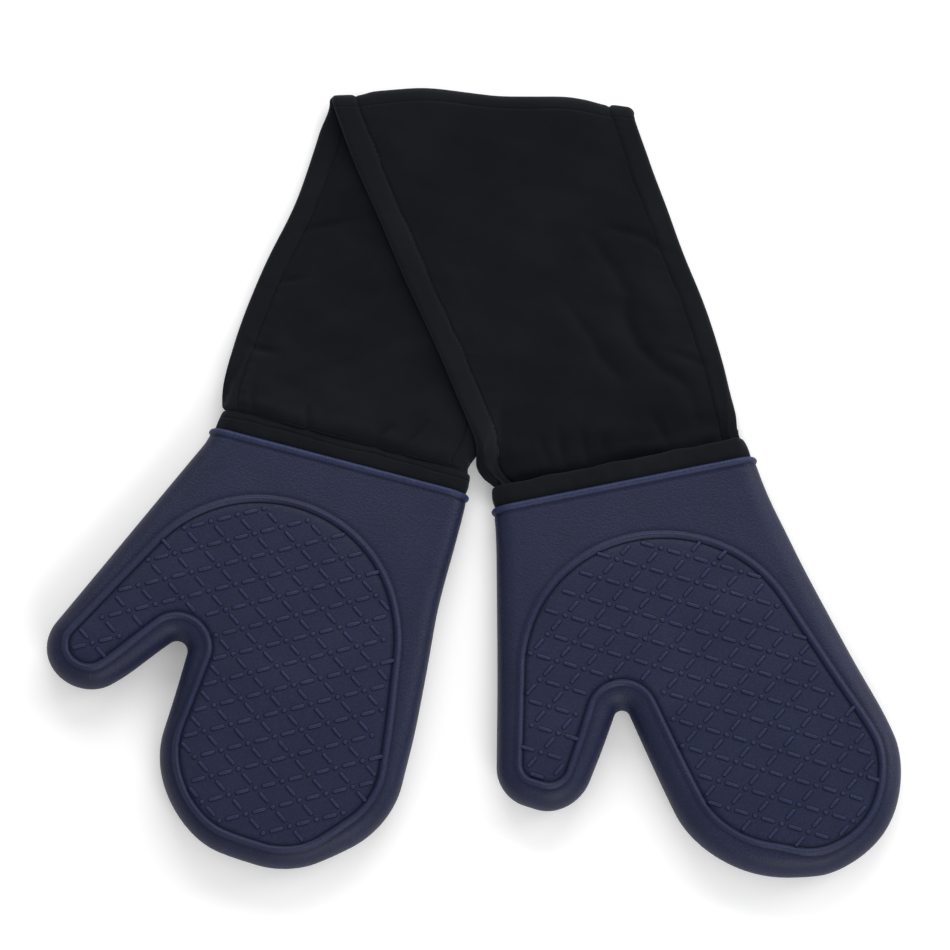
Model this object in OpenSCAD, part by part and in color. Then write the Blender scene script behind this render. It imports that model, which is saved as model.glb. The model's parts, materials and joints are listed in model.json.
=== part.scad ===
// Double oven mitt: two silicone mitts sewn to the ends of one quilted cotton
// band. It lies folded on a table, palm pockets pointing towards -Y, with the
// front half of the band on top of the back half.
//
// Origin: middle of the whole outline, on the table. +X right, +Y towards the
// fold, +Z up. All sizes in millimetres.

/* [Mitts] */
// Length of a mitt from the silicone lip to the fingertips
mitt_l = 250; // [220:1:290]
// Height of a mitt lying empty on the table, over the fingers
mitt_h = 26; // [22:1:34]
// Height of the flattened cuff
cuff_h = 20; // [19:1:23]
// Radius of the rounded outline seen from the side
edge_r = 12; // [10:0.5:13]
// Thickness of the silicone
shell_t = 2; // [1.2:0.1:2.6]
// Width of the raised ridge round the gripping zone
ridge_w = 3.2; // [2:0.2:4]
// Height of that ridge
ridge_h = 1.2; // [0.6:0.1:2]
// Swell of the gripping zone over the flat
palm_swell = 1.5; // [0:0.1:3]
// Thickness of the wadding inside a mitt
wadding_t = 2; // [1:0.1:2.4]
// Thickness of the cotton lining
lining_t = 0.8; // [0.4:0.1:1.2]
// Width of the cotton binding showing beyond the silicone lip
cuff_binding_w = 12.6; // [9:0.1:18]

/* [Band] */
// Length of the back half, from the fold to the left cuff
back_l = 223; // [190:1:280]
// Length of the front half, from the fold to the right cuff
front_l = 236; // [200:1:290]
// Length of the fold line
fold_w = 181; // [165:1:190]
// Thickness of the wadding between the two cotton panels
band_wadding_t = 3; // [2:0.1:4]
// Thickness of one cotton panel of the band
panel_t = 1; // [0.6:0.1:1.4]
// Width of the binding along each long edge
edge_binding_w = 12; // [8:0.5:16]
// Thickness of the cotton binding tape
tape_t = 0.6; // [0.4:0.1:0.9]
// Radius of the bend at the fold, at mid-thickness
bend_r = 5.5; // [4.5:0.1:8]

/* [Layout] */
// Turn of the back half away from the straight line down from the fold
back_spread = 21; // [15:1:24]
// Turn of the front half the other way
front_spread = 21; // [17:1:26]
// Slant of the fold line on the table
fold_tilt = -2.5; // [-5:0.5:0]
// Turn of the left cuff
left_cuff_turn = -15; // [-19:1:-11]
// Turn of the right cuff
right_cuff_turn = 11.5; // [9:0.5:15]

/* [Hidden] */

// ---- Cloth and silicone colours ----
navy = [0.19, 0.20, 0.28];
black_cotton = [0.10, 0.11, 0.12];
wadding_white = [0.85, 0.85, 0.82];

// ---- Depths below the outside of a mitt ----
wadding_d = shell_t;
lining_d = wadding_d + wadding_t;
inside_d = lining_d + lining_t;
// The lining runs on past the silicone lip and ends inside the cuff binding
lining_reach = cuff_binding_w - tape_t;

// ---- Heights of the band ----
half_wadding_t = band_wadding_t / 2;
band_half_t = half_wadding_t + panel_t;
bound_half_t = band_half_t + tape_t;
// Mid-height of the back half on the table, of the fold, and of the front half
back_z = bound_half_t;
fold_z = back_z + bend_r;
layer_gap = 0.4;
front_z = back_z + 2 * bound_half_t + layer_gap;
// Gap left between two bodies that move against each other
body_gap = 0.3;
// Distance behind the fold line at which the bend has become flat
bend_d = bend_r + bound_half_t + body_gap / 2;

// ---- Outlines of the mitts ----
// Each outline is a belt round discs [along the cuff, towards the fingertips,
// radius, steps], listed from the left end of the cuff to its right end. A
// negative radius is an inward curve. Drawn for a mitt 250 long.
drawn_l = 250;
drawn_cuff = 79;
size_k = mitt_l / drawn_l;
cuff_half = drawn_cuff * size_k;

function flare(side, r) = [side * (drawn_cuff + r), 0, -r, 4];

left_drawn = [
    flare(-1, 30),
    [-116.5, 149, 24, 10],
    [-64.3, 137, -6.5, 6],
    [1, 187, 60, 7],
    [22, 205, 45, 3],
    [31, 183, 56, 6],
    flare(1, 60)
];
right_drawn = [
    flare(-1, 60),
    [-87, 160, 24.5, 6],
    [-80, 163, 25.5, 6],
    [-31.7, 140.5, -4.8, 6],
    [51, 190, 65.5, 7],
    [68, 198, 58.5, 7],
    flare(1, 150)
];
left_thumb_discs = 1;
right_thumb_discs = 2;
// The ridge is a closed belt with as many steps as its outline. Its first and
// last disc are one, the arch across the palm, and a short chord joins them.
arch_ends = [98, 82];
// The face drops by this much at the ridge's outer foot and rises by it at the
// inner foot
foot_step = 0.3;
left_arch = [-18.5, 117.5, 84, 4];
left_ridge_drawn = [
    left_arch,
    [-116.5, 149, 13, 10],
    [-64.3, 137, -19.5, 6],
    [1, 187, 50.5, 7],
    [22, 205, 35.5, 3],
    [31, 183, 43.5, 6],
    left_arch
];
right_arch = [-2, 121, 85.5, 4];
right_ridge_drawn = [
    right_arch,
    [-87, 160, 11.5, 6],
    [-80, 163, 12.5, 6],
    [-31.7, 140.5, -19.3, 6],
    [51, 190, 49.5, 7],
    [68, 198, 47, 7],
    right_arch
];

// In the cuff's own frame the fingertips point towards -Y
function scaled(d) = [d[0] * size_k, -d[1] * size_k, d[2] * size_k, d[3]];
left_discs = [for (d = left_drawn) scaled(d)];
right_discs = [for (d = right_drawn) scaled(d)];
left_ridge = [for (d = left_ridge_drawn) scaled(d)];
right_ridge = [for (d = right_ridge_drawn) scaled(d)];

// Heading of the outward normal of the straight line from disc a to disc b
function line_normal(a, b) =
    let (reach = [b[0] - a[0], b[1] - a[1]])
    atan2(reach[1], reach[0]) - 90 + asin((a[2] - b[2]) / norm(reach));

function turn(from, to) = (to - from) - 360 * floor((to - from) / 360);

// ends holds the angles at which the belt starts and stops
function disc_angles(discs, i, ends) =
    let (
        last = len(discs) - 1,
        from = i == 0 ? ends[0] : line_normal(discs[i - 1], discs[i]),
        to = i == last ? ends[1] : line_normal(discs[i], discs[i + 1]),
        sweep = discs[i][2] > 0 ? turn(from, to) : -turn(to, from)
    )
    [for (k = [0 : discs[i][3]]) from + sweep * k / discs[i][3]];

function belt(discs, inset, ends) = [
    for (i = [0 : len(discs) - 1])
        for (a = disc_angles(discs, i, ends))
            [discs[i][0] + (discs[i][2] - inset) * cos(a),
             discs[i][1] + (discs[i][2] - inset) * sin(a)]
];

// The outline moved inwards by inset. A reach above 0 adds a straight run that
// long at both ends, beyond the silicone lip.
function outline(discs, inset, reach) = concat(
    reach > 0 ? [[-cuff_half + inset, reach]] : [],
    belt(discs, inset, [180, 0]),
    reach > 0 ? [[cuff_half - inset, reach]] : []
);

// Number of outline points that come before disc i
function points_before(discs, i, reach) =
    i == 0 ? (reach > 0 ? 1 : 0) : points_before(discs, i - 1, reach) + discs[i - 1][3] + 1;

// ---- Height of a mitt: flat at the cuff, swelling up to the thumb ----
swell_l = 140 * size_k;
function height_at(y) = cuff_h + (mitt_h - cuff_h) * min(1, max(0, -y / swell_l));

// Point at rim angle a (-90 under, 90 on top) on the skin that lies d deep
function skin_inset(d, a) = d + (edge_r - d) * (1 - cos(a));
function skin_z(d, a, y) = d + (height_at(y) / 2 - d) * (1 + sin(a));
function skin_ring(discs, d, a, reach) = [
    for (p = outline(discs, skin_inset(d, a), reach)) [p[0], p[1], skin_z(d, a, p[1])]
];

// ---- Middle points that the flat faces of a mitt are divided from ----
function thumb_middle(discs) = [discs[1][0], discs[1][1]];
palm_share = [0.25, 0.3];
function palm_middle(discs) = [discs[1][0] * palm_share[0], -mitt_l * palm_share[1]];
function finger_middle(discs) =
    let (n = len(discs)) [(discs[n - 3][0] + discs[n - 2][0]) / 2, discs[n - 2][1]];

// Triangles of a flat face, from ring points 0..n-1 and the middle points
// numbered n (palm), n + 1 (thumb) and n + 2 (fingers)
function face_fans(discs, thumbs, n, reach) =
    let (
        flare_end = points_before(discs, 1, reach) - 1,
        crotch = points_before(discs, thumbs + 1, reach),
        crotch_end = points_before(discs, thumbs + 2, reach) - 1,
        side = points_before(discs, len(discs) - 1, reach),
        lip = points_before(discs, 0, reach),
        lip_end = n - 1 - lip
    )
    concat(
        [for (i = [lip : flare_end - 1]) [n, i, i + 1]],
        [for (i = [flare_end : crotch - 1]) [n + 1, i, i + 1]],
        [for (i = [crotch : crotch_end - 1]) [n, i, i + 1]],
        [for (i = [crotch_end : side - 1]) [n + 2, i, i + 1]],
        [for (i = [side : lip_end - 1]) [n, i, i + 1]],
        [[n, flare_end, n + 1], [n, n + 1, crotch]],
        [[n, crotch_end, n + 2], [n, n + 2, side]],
        [[n, lip_end, lip]],
        lip > 0 ? [[lip, lip_end, n - 1], [lip, n - 1, 0]] : []
    );

function shifted(faces, by) = [for (f = faces) [for (i = f) i + by]];
function flipped(faces) = [for (f = faces) [for (i = [len(f) - 1 : -1 : 0]) f[i]]];

// Two triangles for each square of a grid of rows, each row cols points long
function grid_faces(rows, cols) = [
    for (r = [0 : rows - 2])
        for (c = [0 : cols - 2])
            let (a = r * cols + c, b = a + cols)
            each [[a, a + 1, b + 1], [a, b + 1, b]]
];

// A pocket wall between the skins at depths outer and inner, for the rim
// angles in rim: the whole way round, or only the upper or the lower half
module pocket_wall(discs, thumbs, outer, inner, reach, rim) {
    rings = len(rim);
    n = len(outline(discs, 0, reach));
    skin_n = rings * n;
    block = skin_n + 6;
    low_cap = rim[0] == -90;
    high_cap = rim[rings - 1] == 90;
    middles = [palm_middle(discs), thumb_middle(discs), finger_middle(discs)];
    points = [
        for (d = [outer, inner])
            each concat(
                [for (a = rim) each skin_ring(discs, d, a, reach)],
                [for (a = [-90, 90]) for (m = middles) [m[0], m[1], skin_z(d, a, m[1])]]
            )
    ];
    fans = face_fans(discs, thumbs, n, reach);
    low_fans = [for (f = fans) [for (i = f) i < n ? i : i - n + skin_n]];
    high_fans = [for (f = fans) [for (i = f) i < n ? i + (rings - 1) * n : i - n + skin_n + 3]];
    side_faces = grid_faces(rings, n);
    skin = concat(side_faces, low_cap ? flipped(low_fans) : [], high_cap ? high_fans : []);
    // Mouth of the pocket: the wall's own thickness, at both ends and across
    ends = [
        for (r = [0 : rings - 2])
            let (a = r * n, b = a + n, c = a + n - 1, d = b + n - 1)
            each [
                [a, b, b + block], [a, b + block, a + block],
                [c, c + block, d + block], [c, d + block, d]
            ]
    ];
    function across(r) =
        let (a = r * n, b = a + n - 1)
        [[a, a + block, b + block], [a, b + block, b]];
    // Seam where the two halves of a pocket meet
    function seam(r) = [
        for (i = [0 : n - 2])
            let (a = r * n + i, b = a + 1)
            each [[a, a + block, b + block], [a, b + block, b]]
    ];
    polyhedron(
        points,
        concat(
            flipped(skin),
            shifted(skin, block),
            flipped(ends),
            flipped(low_cap ? across(0) : seam(0)),
            high_cap ? across(rings - 1) : seam(rings - 1)
        )
    );
}

rim_all = [-90, -67.5, -45, -22.5, 0, 22.5, 45, 67.5, 90];
rim_under_ridge = [for (a = rim_all) if (a < 90) a];
rim_upper = [for (a = rim_all) if (a >= 0) a];
rim_lower = [for (a = rim_all) if (a <= 0) a];

// Two triangles for each square of the closed strip between loops a and b
function strip_faces(a, b, n) = [
    for (i = [0 : n - 1])
        let (j = (i + 1) % n)
        each [[a + i, a + j, b + j], [a + i, b + j, b + i]]
];

// The silicone pocket, with the ridge and the swell of its upper face. The
// lower face stays flat, as it lies.
module moulded_shell(discs, ridge, thumbs) {
    n = len(outline(discs, 0, 0));
    middles = [palm_middle(discs), thumb_middle(discs), finger_middle(discs)];
    rings = len(rim_under_ridge);
    loops = [[-ridge_w / 2, -foot_step], [0, ridge_h], [ridge_w / 2, foot_step]];
    last_loop = (rings + len(loops) - 1) * n;
    tops = (rings + len(loops)) * n;
    inner = tops + 6;
    inner_rings = len(rim_all);
    inner_tops = inner + inner_rings * n;
    last_ring = inner_tops - n;
    points = concat(
        [for (a = rim_under_ridge) each skin_ring(discs, 0, a, 0)],
        [for (l = loops)
            for (p = belt(ridge, l[0], arch_ends)) [p[0], p[1], skin_z(0, 90, p[1]) + l[1]]],
        [for (m = middles) [m[0], m[1], 0]],
        [for (m = middles) [m[0], m[1], skin_z(0, 90, m[1]) + palm_swell]],
        [for (a = rim_all) each skin_ring(discs, shell_t, a, 0)],
        [for (a = [-90, 90]) for (m = middles) [m[0], m[1], skin_z(shell_t, a, m[1])]]
    );
    fans = face_fans(discs, thumbs, n, 0);
    // The fans of a face, for the ring that starts at loop and its own middles
    function fans_at(loop, middle) = [for (f = fans) [for (i = f) i < n ? i + loop : i - n + middle]];
    outer_skin = concat(
        grid_faces(rings, n),
        [for (k = [0 : len(loops) - 1]) each strip_faces((rings - 1 + k) * n, (rings + k) * n, n)],
        flipped(fans_at(0, tops)),
        fans_at(last_loop, tops + 3)
    );
    inner_skin = concat(
        shifted(grid_faces(inner_rings, n), inner),
        flipped(fans_at(inner, inner_tops)),
        fans_at(last_ring, inner_tops + 3)
    );
    ends = [
        for (r = [0 : rings - 2])
            let (a = r * n, b = a + n, c = a + n - 1, d = b + n - 1)
            each [
                [a, b, b + inner], [a, b + inner, a + inner],
                [c, c + inner, d + inner], [c, d + inner, d]
            ]
    ];
    a = (rings - 1) * n;
    b = a + n - 1;
    lip_under = [[0, inner, inner + n - 1], [0, inner + n - 1, n - 1]];
    lip_over = [
        [a, a + inner, last_ring], [b, last_ring + n - 1, b + inner],
        [a, last_ring, last_ring + n - 1], [a, last_ring + n - 1, b]
    ];
    polyhedron(points, concat(flipped(outer_skin), inner_skin, flipped(ends), flipped(lip_under), lip_over));
}

// ---- Binding folded round the raw edge of the lining ----
// Points [depth, distance beyond the silicone lip] of the folded tape
tape_section = [
    [shell_t - tape_t, 0], [shell_t - tape_t, cuff_binding_w],
    [inside_d + tape_t, cuff_binding_w], [inside_d + tape_t, 0],
    [inside_d, 0], [inside_d, lining_reach],
    [shell_t, lining_reach], [shell_t, 0]
];
function around_cuff(d, y) = concat(
    [for (a = rim_all) [cuff_half - skin_inset(d, a), y, skin_z(d, a, y)]],
    [for (i = [len(rim_all) - 1 : -1 : 0])
        let (a = rim_all[i]) [skin_inset(d, a) - cuff_half, y, skin_z(d, a, y)]]
);

module folded_tape_ring() {
    rings = [for (q = tape_section) around_cuff(q[0], q[1])];
    rows = len(rings);
    n = len(rings[0]);
    polyhedron(
        [for (ring = rings) each ring],
        [
            for (r = [0 : rows - 1])
                for (i = [0 : n - 1])
                    let (
                        a = r * n + i,
                        b = r * n + (i + 1) % n,
                        up = ((r + 1) % rows - r) * n
                    )
                    each [[a, b, b + up], [a, b + up, a + up]]
        ]
    );
}

// ---- Places on the table, measured from the middle of the fold line ----
function turned(p, a) = [p[0] * cos(a) - p[1] * sin(a), p[0] * sin(a) + p[1] * cos(a)];
along_fold = turned([1, 0], fold_tilt);
down_fold = turned([0, -1], fold_tilt);
seam_y = cuff_binding_w + body_gap;

// A cuff is [place of the middle of its silicone lip, turn]
function cuff_at(length, spread, turn) =
    [length * [sin(spread), -cos(spread)] - turned([0, seam_y], turn), turn];
left_cuff = cuff_at(back_l, -back_spread, left_cuff_turn);
right_cuff = cuff_at(front_l, front_spread, right_cuff_turn);
function to_table(cuff, p) = cuff[0] + turned(p, cuff[1]);
function to_cuff(cuff, p) = turned(p - cuff[0], -cuff[1]);

// ---- Halves of the band ----
// [cuff, side of the cuff it is sewn to (1 top, -1 bottom), slant of its left
//  and right edges at the fold, slant of them at the cuff]
back = [left_cuff, 1, [-0.17, -0.42], [-0.40, 0.03]];
front = [right_cuff, -1, [0.42, 0.34], [-0.18, -0.03]];

wall_d = (shell_t + inside_d) / 2;
flat_half = cuff_half - edge_r;
corner_w = edge_r - wall_d;
corner_h = cuff_h / 2 - wall_d;
corner_arc = 90 * (corner_w + corner_h) / 2 * PI / 180;
seam_half = flat_half + corner_arc;
// Stretch over which the band rises or falls to its cuff, and settles from the fold
rise_l = 60;
settle_l = 45;
// Play for the cuff to bend past straight
back_bend = 25;

function ease(x) = let (c = min(1, max(0, x))) c * c * (3 - 2 * c);

// Angle round the corner of the cuff that the band's width position s reaches
function corner_angle(s) = max(0, (abs(s) * seam_half - flat_half) / corner_arc * 90);
function seam_x(s) = sign(s) * (min(abs(s) * seam_half, flat_half) + corner_w * sin(corner_angle(s)));

// Height of the middle of the cuff's wall at distance x from the cuff's middle
function wall_z(side, x) =
    let (k = min(1, max(0, (abs(x) - flat_half) / corner_w)))
    cuff_h / 2 + side * corner_h * sqrt(1 - k * k);

// Mid-height of the back half at a place on the table
function back_height(p) =
    let (q = to_cuff(left_cuff, p))
    back_z + (wall_z(1, q[0]) - back_z) * ease(1 - (q[1] - seam_y) / rise_l);

// Lowest mid-height at which the front half lies clear on top of the back half.
// The back half counts as wider by its own thickness, for its steep sides.
function clear_height(p) =
    let (
        q = to_cuff(left_cuff, p),
        inwards = max(0, abs(q[0]) - 2 * bound_half_t),
        under = back_z + (wall_z(1, inwards) - back_z) * ease(1 - (q[1] - seam_y) / rise_l),
        beyond = max(0, inwards - flat_half - corner_w)
    )
    q[1] < seam_y + rise_l ? under + 2 * bound_half_t + layer_gap - beyond : 0;

function fold_distance(p) = p * down_fold;

function front_height(p) =
    let (
        q = to_cuff(right_cuff, p),
        lying = front_z + (fold_z + bend_r - front_z) * ease(1 - (fold_distance(p) - bend_d) / settle_l),
        falling = ease(1 - (q[1] - seam_y) / rise_l)
    )
    max(lying + (wall_z(-1, q[0]) - lying) * falling, clear_height(p));

function fold_point(s) = along_fold * s * fold_w / 2;
function leaving(k) = down_fold + k * along_fold;
function half_length(half) = norm(half[0][0]);

// How far an edge runs straight on from the fold, and from the cuff, before it
// turns, as a share of the length of its half
fold_run = 0.27;
cuff_run = 0.25;

// Long edge i (0 left, 1 right) of a half as a cubic curve, t from 0 at the
// end of the bend to 1 at the cuff
function edge_point(half, i, t) =
    let (
        s = 2 * i - 1,
        l = half_length(half),
        p0 = fold_point(s) + bend_d * leaving(half[2][i]),
        p1 = p0 + fold_run * l * leaving(half[2][i]),
        p3 = to_table(half[0], [seam_x(s), seam_y]),
        p2 = p3 + cuff_run * l * turned([half[3][i], 1], half[0][1]),
        u = 1 - t
    )
    u * u * u * p0 + 3 * u * u * t * p1 + 3 * u * t * t * p2 + t * t * t * p3;

// Rows of a half: angles round the bend, then fractions of the length
bend_rows = [0, 30, 60];
length_rows = [0, 0.06, 0.13, 0.21, 0.3, 0.39, 0.48, 0.57, 0.66, 0.74, 0.8, 0.86, 0.92, 1];
row_count = len(bend_rows) + len(length_rows);
// Play left behind the tilted end row
function play(side, z) = abs((side > 0 ? cuff_h : 0) - z) * tan(back_bend);

function bend_point(half, s, a, off) =
    let (
        side = half[1],
        slant = (half[2][0] * (1 - s) + half[2][1] * (1 + s)) / 2,
        r = bend_r + off,
        p = fold_point(s) + (bend_d - r * cos(a)) * leaving(slant)
    )
    [p[0], p[1], fold_z - side * (body_gap / 2 * (1 - a / 90) + r * sin(a))];

function length_point(half, s, t, off) =
    let (
        side = half[1],
        straight = (edge_point(half, 0, t) * (1 - s) + edge_point(half, 1, t) * (1 + s)) / 2,
        near = ease(1 - (1 - t) * half_length(half) / rise_l),
        q = to_cuff(half[0], straight),
        x = q[0] + near * (seam_x(s) - seam_x(1) * s),
        p = to_table(half[0], [x, q[1]]),
        z = side > 0 ? back_height(p) : front_height(p),
        a = corner_angle(s) * near,
        nx = -sin(a) * sign(s),
        nz = -side * cos(a),
        end_y = t == 1 ? seam_y + play(side, z + off * nz) : q[1],
        r = to_table(half[0], [x + off * nx, end_y])
    )
    [r[0], r[1], z + off * nz];

// Point of a half at row r and width position s, off to the outer face's side
function band_point(half, r, s, off) =
    r < len(bend_rows)
        ? bend_point(half, s, bend_rows[r], off)
        : length_point(half, s, length_rows[r - len(bend_rows)], off);

bound_s = 1 - edge_binding_w / seam_half;
edge_columns = [bound_s, (1 + 2 * bound_s) / 3, (2 + bound_s) / 3, 1];
middle_columns = [0, 0.36 * bound_s, 0.68 * bound_s];
half_columns = concat(middle_columns, edge_columns);
columns = concat([for (i = [len(half_columns) - 1 : -1 : 1]) -half_columns[i]], half_columns);

// One layer of a half, between the offsets low and high from mid-thickness
module band_layer(half, low, high) {
    cols = len(columns);
    block = row_count * cols;
    faces = grid_faces(row_count, cols);
    rim = concat(
        [for (c = [0 : cols - 2]) [c, c + 1]],
        [for (r = [0 : row_count - 2]) [(r + 1) * cols - 1, (r + 2) * cols - 1]],
        [for (c = [cols - 2 : -1 : 0]) [block - cols + c + 1, block - cols + c]],
        [for (r = [row_count - 2 : -1 : 0]) [(r + 1) * cols, r * cols]]
    );
    all_faces = concat(
        flipped(faces),
        shifted(faces, block),
        [for (e = rim) each [[e[0], e[1], e[1] + block], [e[0], e[1] + block, e[0] + block]]]
    );
    polyhedron(
        [for (off = [low, high]) for (r = [0 : row_count - 1]) for (s = columns) band_point(half, r, s, off)],
        half[1] > 0 ? flipped(all_faces) : all_faces
    );
}

// Tape folded round a long edge: end is -1 for the left edge and 1 for the right
module edge_tape(half, end) {
    past_edge = 1 + tape_t / seam_half;
    outside = concat([for (i = [0 : 2]) edge_columns[i]], [past_edge]);
    section = concat(
        [for (s = outside) [s, bound_half_t]],
        [for (off = [1, -1]) [past_edge, off * half_wadding_t]],
        [for (i = [3 : -1 : 0]) [outside[i], -bound_half_t]],
        [for (s = edge_columns) [s, -band_half_t]],
        [for (off = [-1, 1]) [1, off * half_wadding_t]],
        [for (i = [3 : -1 : 0]) [edge_columns[i], band_half_t]]
    );
    n = len(section);
    flap = len(edge_columns);
    cap = [for (j = [0 : n / 2 - 2]) each [[j, j + 1, n - 2 - j], [j, n - 2 - j, n - 1 - j]]];
    // The inside of the tape is divided as the layers that it holds are
    crossed = [for (i = end < 0 ? [n / 2 : n - flap - 1] : [n - flap : n - 2]) i];
    sides = [
        for (r = [0 : row_count - 2])
            for (i = [0 : n - 1])
                let (a = r * n + i, b = r * n + (i + 1) % n)
                each len(search(i, crossed)) > 0
                    ? [[a, b, a + n], [b, b + n, a + n]]
                    : [[a, b, b + n], [a, b + n, a + n]]
    ];
    all_faces = concat(sides, flipped(cap), shifted(cap, (row_count - 1) * n));
    polyhedron(
        [for (r = [0 : row_count - 1]) for (q = section) band_point(half, r, end * q[0], q[1])],
        half[1] * end > 0 ? flipped(all_faces) : all_faces
    );
}

// ---- The origin lies under the middle of the whole outline ----
function on_table(cuff, discs) = [for (p = outline(discs, 0, 0)) to_table(cuff, p)];
mitt_points = concat(on_table(left_cuff, left_discs), on_table(right_cuff, right_discs));
top_y = max([for (half = [back, front]) for (s = [-1, 1]) band_point(half, 0, s, bound_half_t)[1]]);
middle_x = (min([for (p = mitt_points) p[0]]) + max([for (p = mitt_points) p[0]])) / 2;
middle_y = (min([for (p = mitt_points) p[1]]) + top_y) / 2;

module placed() translate([-middle_x, -middle_y, 0]) children();
module at_cuff(cuff) placed() translate([cuff[0][0], cuff[0][1], 0]) rotate([0, 0, cuff[1]]) children();

// ---- Left mitt ----
module left_silicone_shell()
    color(navy) at_cuff(left_cuff)
        moulded_shell(left_discs, left_ridge, left_thumb_discs);
module left_upper_wadding()
    color(wadding_white) at_cuff(left_cuff)
        pocket_wall(left_discs, left_thumb_discs, wadding_d, lining_d, lining_reach, rim_upper);
module left_lower_wadding()
    color(wadding_white) at_cuff(left_cuff)
        pocket_wall(left_discs, left_thumb_discs, wadding_d, lining_d, lining_reach, rim_lower);
module left_upper_lining()
    color(black_cotton) at_cuff(left_cuff)
        pocket_wall(left_discs, left_thumb_discs, lining_d, inside_d, lining_reach, rim_upper);
module left_lower_lining()
    color(black_cotton) at_cuff(left_cuff)
        pocket_wall(left_discs, left_thumb_discs, lining_d, inside_d, lining_reach, rim_lower);
module left_cuff_binding() color(black_cotton) at_cuff(left_cuff) folded_tape_ring();

// ---- Right mitt ----
module right_silicone_shell()
    color(navy) at_cuff(right_cuff)
        moulded_shell(right_discs, right_ridge, right_thumb_discs);
module right_upper_wadding()
    color(wadding_white) at_cuff(right_cuff)
        pocket_wall(right_discs, right_thumb_discs, wadding_d, lining_d, lining_reach, rim_upper);
module right_lower_wadding()
    color(wadding_white) at_cuff(right_cuff)
        pocket_wall(right_discs, right_thumb_discs, wadding_d, lining_d, lining_reach, rim_lower);
module right_upper_lining()
    color(black_cotton) at_cuff(right_cuff)
        pocket_wall(right_discs, right_thumb_discs, lining_d, inside_d, lining_reach, rim_upper);
module right_lower_lining()
    color(black_cotton) at_cuff(right_cuff)
        pocket_wall(right_discs, right_thumb_discs, lining_d, inside_d, lining_reach, rim_lower);
module right_cuff_binding() color(black_cotton) at_cuff(right_cuff) folded_tape_ring();

// ---- Back half of the band ----
module back_outer_panel() color(black_cotton) placed() band_layer(back, half_wadding_t, band_half_t);
module back_wadding() color(wadding_white) placed() band_layer(back, -half_wadding_t, half_wadding_t);
module back_inner_panel() color(black_cotton) placed() band_layer(back, -band_half_t, -half_wadding_t);
module back_left_edge_binding() color(black_cotton) placed() edge_tape(back, -1);
module back_right_edge_binding() color(black_cotton) placed() edge_tape(back, 1);

// ---- Front half of the band ----
module front_outer_panel() color(black_cotton) placed() band_layer(front, half_wadding_t, band_half_t);
module front_wadding() color(wadding_white) placed() band_layer(front, -half_wadding_t, half_wadding_t);
module front_inner_panel() color(black_cotton) placed() band_layer(front, -band_half_t, -half_wadding_t);
module front_left_edge_binding() color(black_cotton) placed() edge_tape(front, -1);
module front_right_edge_binding() color(black_cotton) placed() edge_tape(front, 1);

left_silicone_shell();
left_upper_wadding();
left_lower_wadding();
left_upper_lining();
left_lower_lining();
left_cuff_binding();
right_silicone_shell();
right_upper_wadding();
right_lower_wadding();
right_upper_lining();
right_lower_lining();
right_cuff_binding();
back_outer_panel();
back_wadding();
back_inner_panel();
back_left_edge_binding();
back_right_edge_binding();
front_outer_panel();
front_wadding();
front_inner_panel();
front_left_edge_binding();
front_right_edge_binding();
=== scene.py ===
# Double oven mitt: two silicone mitts on the ends of one wadded cotton band,
# lying folded on a table. Sizes are in millimetres and become metres in a mesh.
import json
import math

import bmesh
import bpy
import numpy as np
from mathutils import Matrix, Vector, geometry, noise


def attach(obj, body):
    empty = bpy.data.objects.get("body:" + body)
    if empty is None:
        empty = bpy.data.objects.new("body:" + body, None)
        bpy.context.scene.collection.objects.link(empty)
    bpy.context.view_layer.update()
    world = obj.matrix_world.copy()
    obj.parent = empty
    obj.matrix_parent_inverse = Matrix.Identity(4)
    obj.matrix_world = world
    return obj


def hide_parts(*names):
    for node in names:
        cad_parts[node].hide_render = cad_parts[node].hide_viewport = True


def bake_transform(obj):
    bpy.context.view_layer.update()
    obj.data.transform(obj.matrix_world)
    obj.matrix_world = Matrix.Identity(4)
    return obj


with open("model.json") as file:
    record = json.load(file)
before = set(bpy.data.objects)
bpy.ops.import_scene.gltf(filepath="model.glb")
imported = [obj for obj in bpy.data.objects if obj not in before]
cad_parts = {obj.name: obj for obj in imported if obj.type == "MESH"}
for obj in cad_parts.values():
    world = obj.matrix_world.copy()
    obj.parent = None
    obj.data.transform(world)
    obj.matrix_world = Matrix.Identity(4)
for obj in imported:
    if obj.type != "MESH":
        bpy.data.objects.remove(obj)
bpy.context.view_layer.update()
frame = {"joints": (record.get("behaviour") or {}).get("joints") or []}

# ---- Table, light and camera ----
# The mitts lie on a plain pale table under broad, soft lamps. The camera looks
# down on them from the front, 78 degrees above the table.
MM = 0.001
table_reach = 4000
look_at = (-0.3, 7.7, 8.6)
view_width = 570
lens_mm, sensor_mm = 400, 36
elevation = math.radians(78)

table_z = -0.4
corners = ((-1, -1), (1, -1), (1, 1), (-1, 1))


def placed(name, data):
    """A mesh, lamp or camera as an object in the scene."""
    obj = bpy.data.objects.new(name, data)
    bpy.context.scene.collection.objects.link(obj)
    return obj


table_mesh = bpy.data.meshes.new("table")
table_mesh.from_pydata(
    [(x * table_reach * MM, y * table_reach * MM, table_z * MM) for x, y in corners], [], [(0, 1, 2, 3)]
)
placed("table", table_mesh)


def node(tree, kind, place=(0, 0), **values):
    """Adds a node, with its input values by socket name or number."""
    made = tree.nodes.new(kind)
    made.location = place
    for key, value in values.items():
        if hasattr(made, key):
            setattr(made, key, value)
        else:
            made.inputs[int(key[1:]) if key[0] == "_" else key.replace("_", " ")].default_value = value
    return made


def wire(tree, *links):
    """Joins nodes, each link being (from node, its output, to node, its input)."""
    for source, leaving, target, entering in links:
        tree.links.new(source.outputs[leaving], target.inputs[entering])


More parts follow.
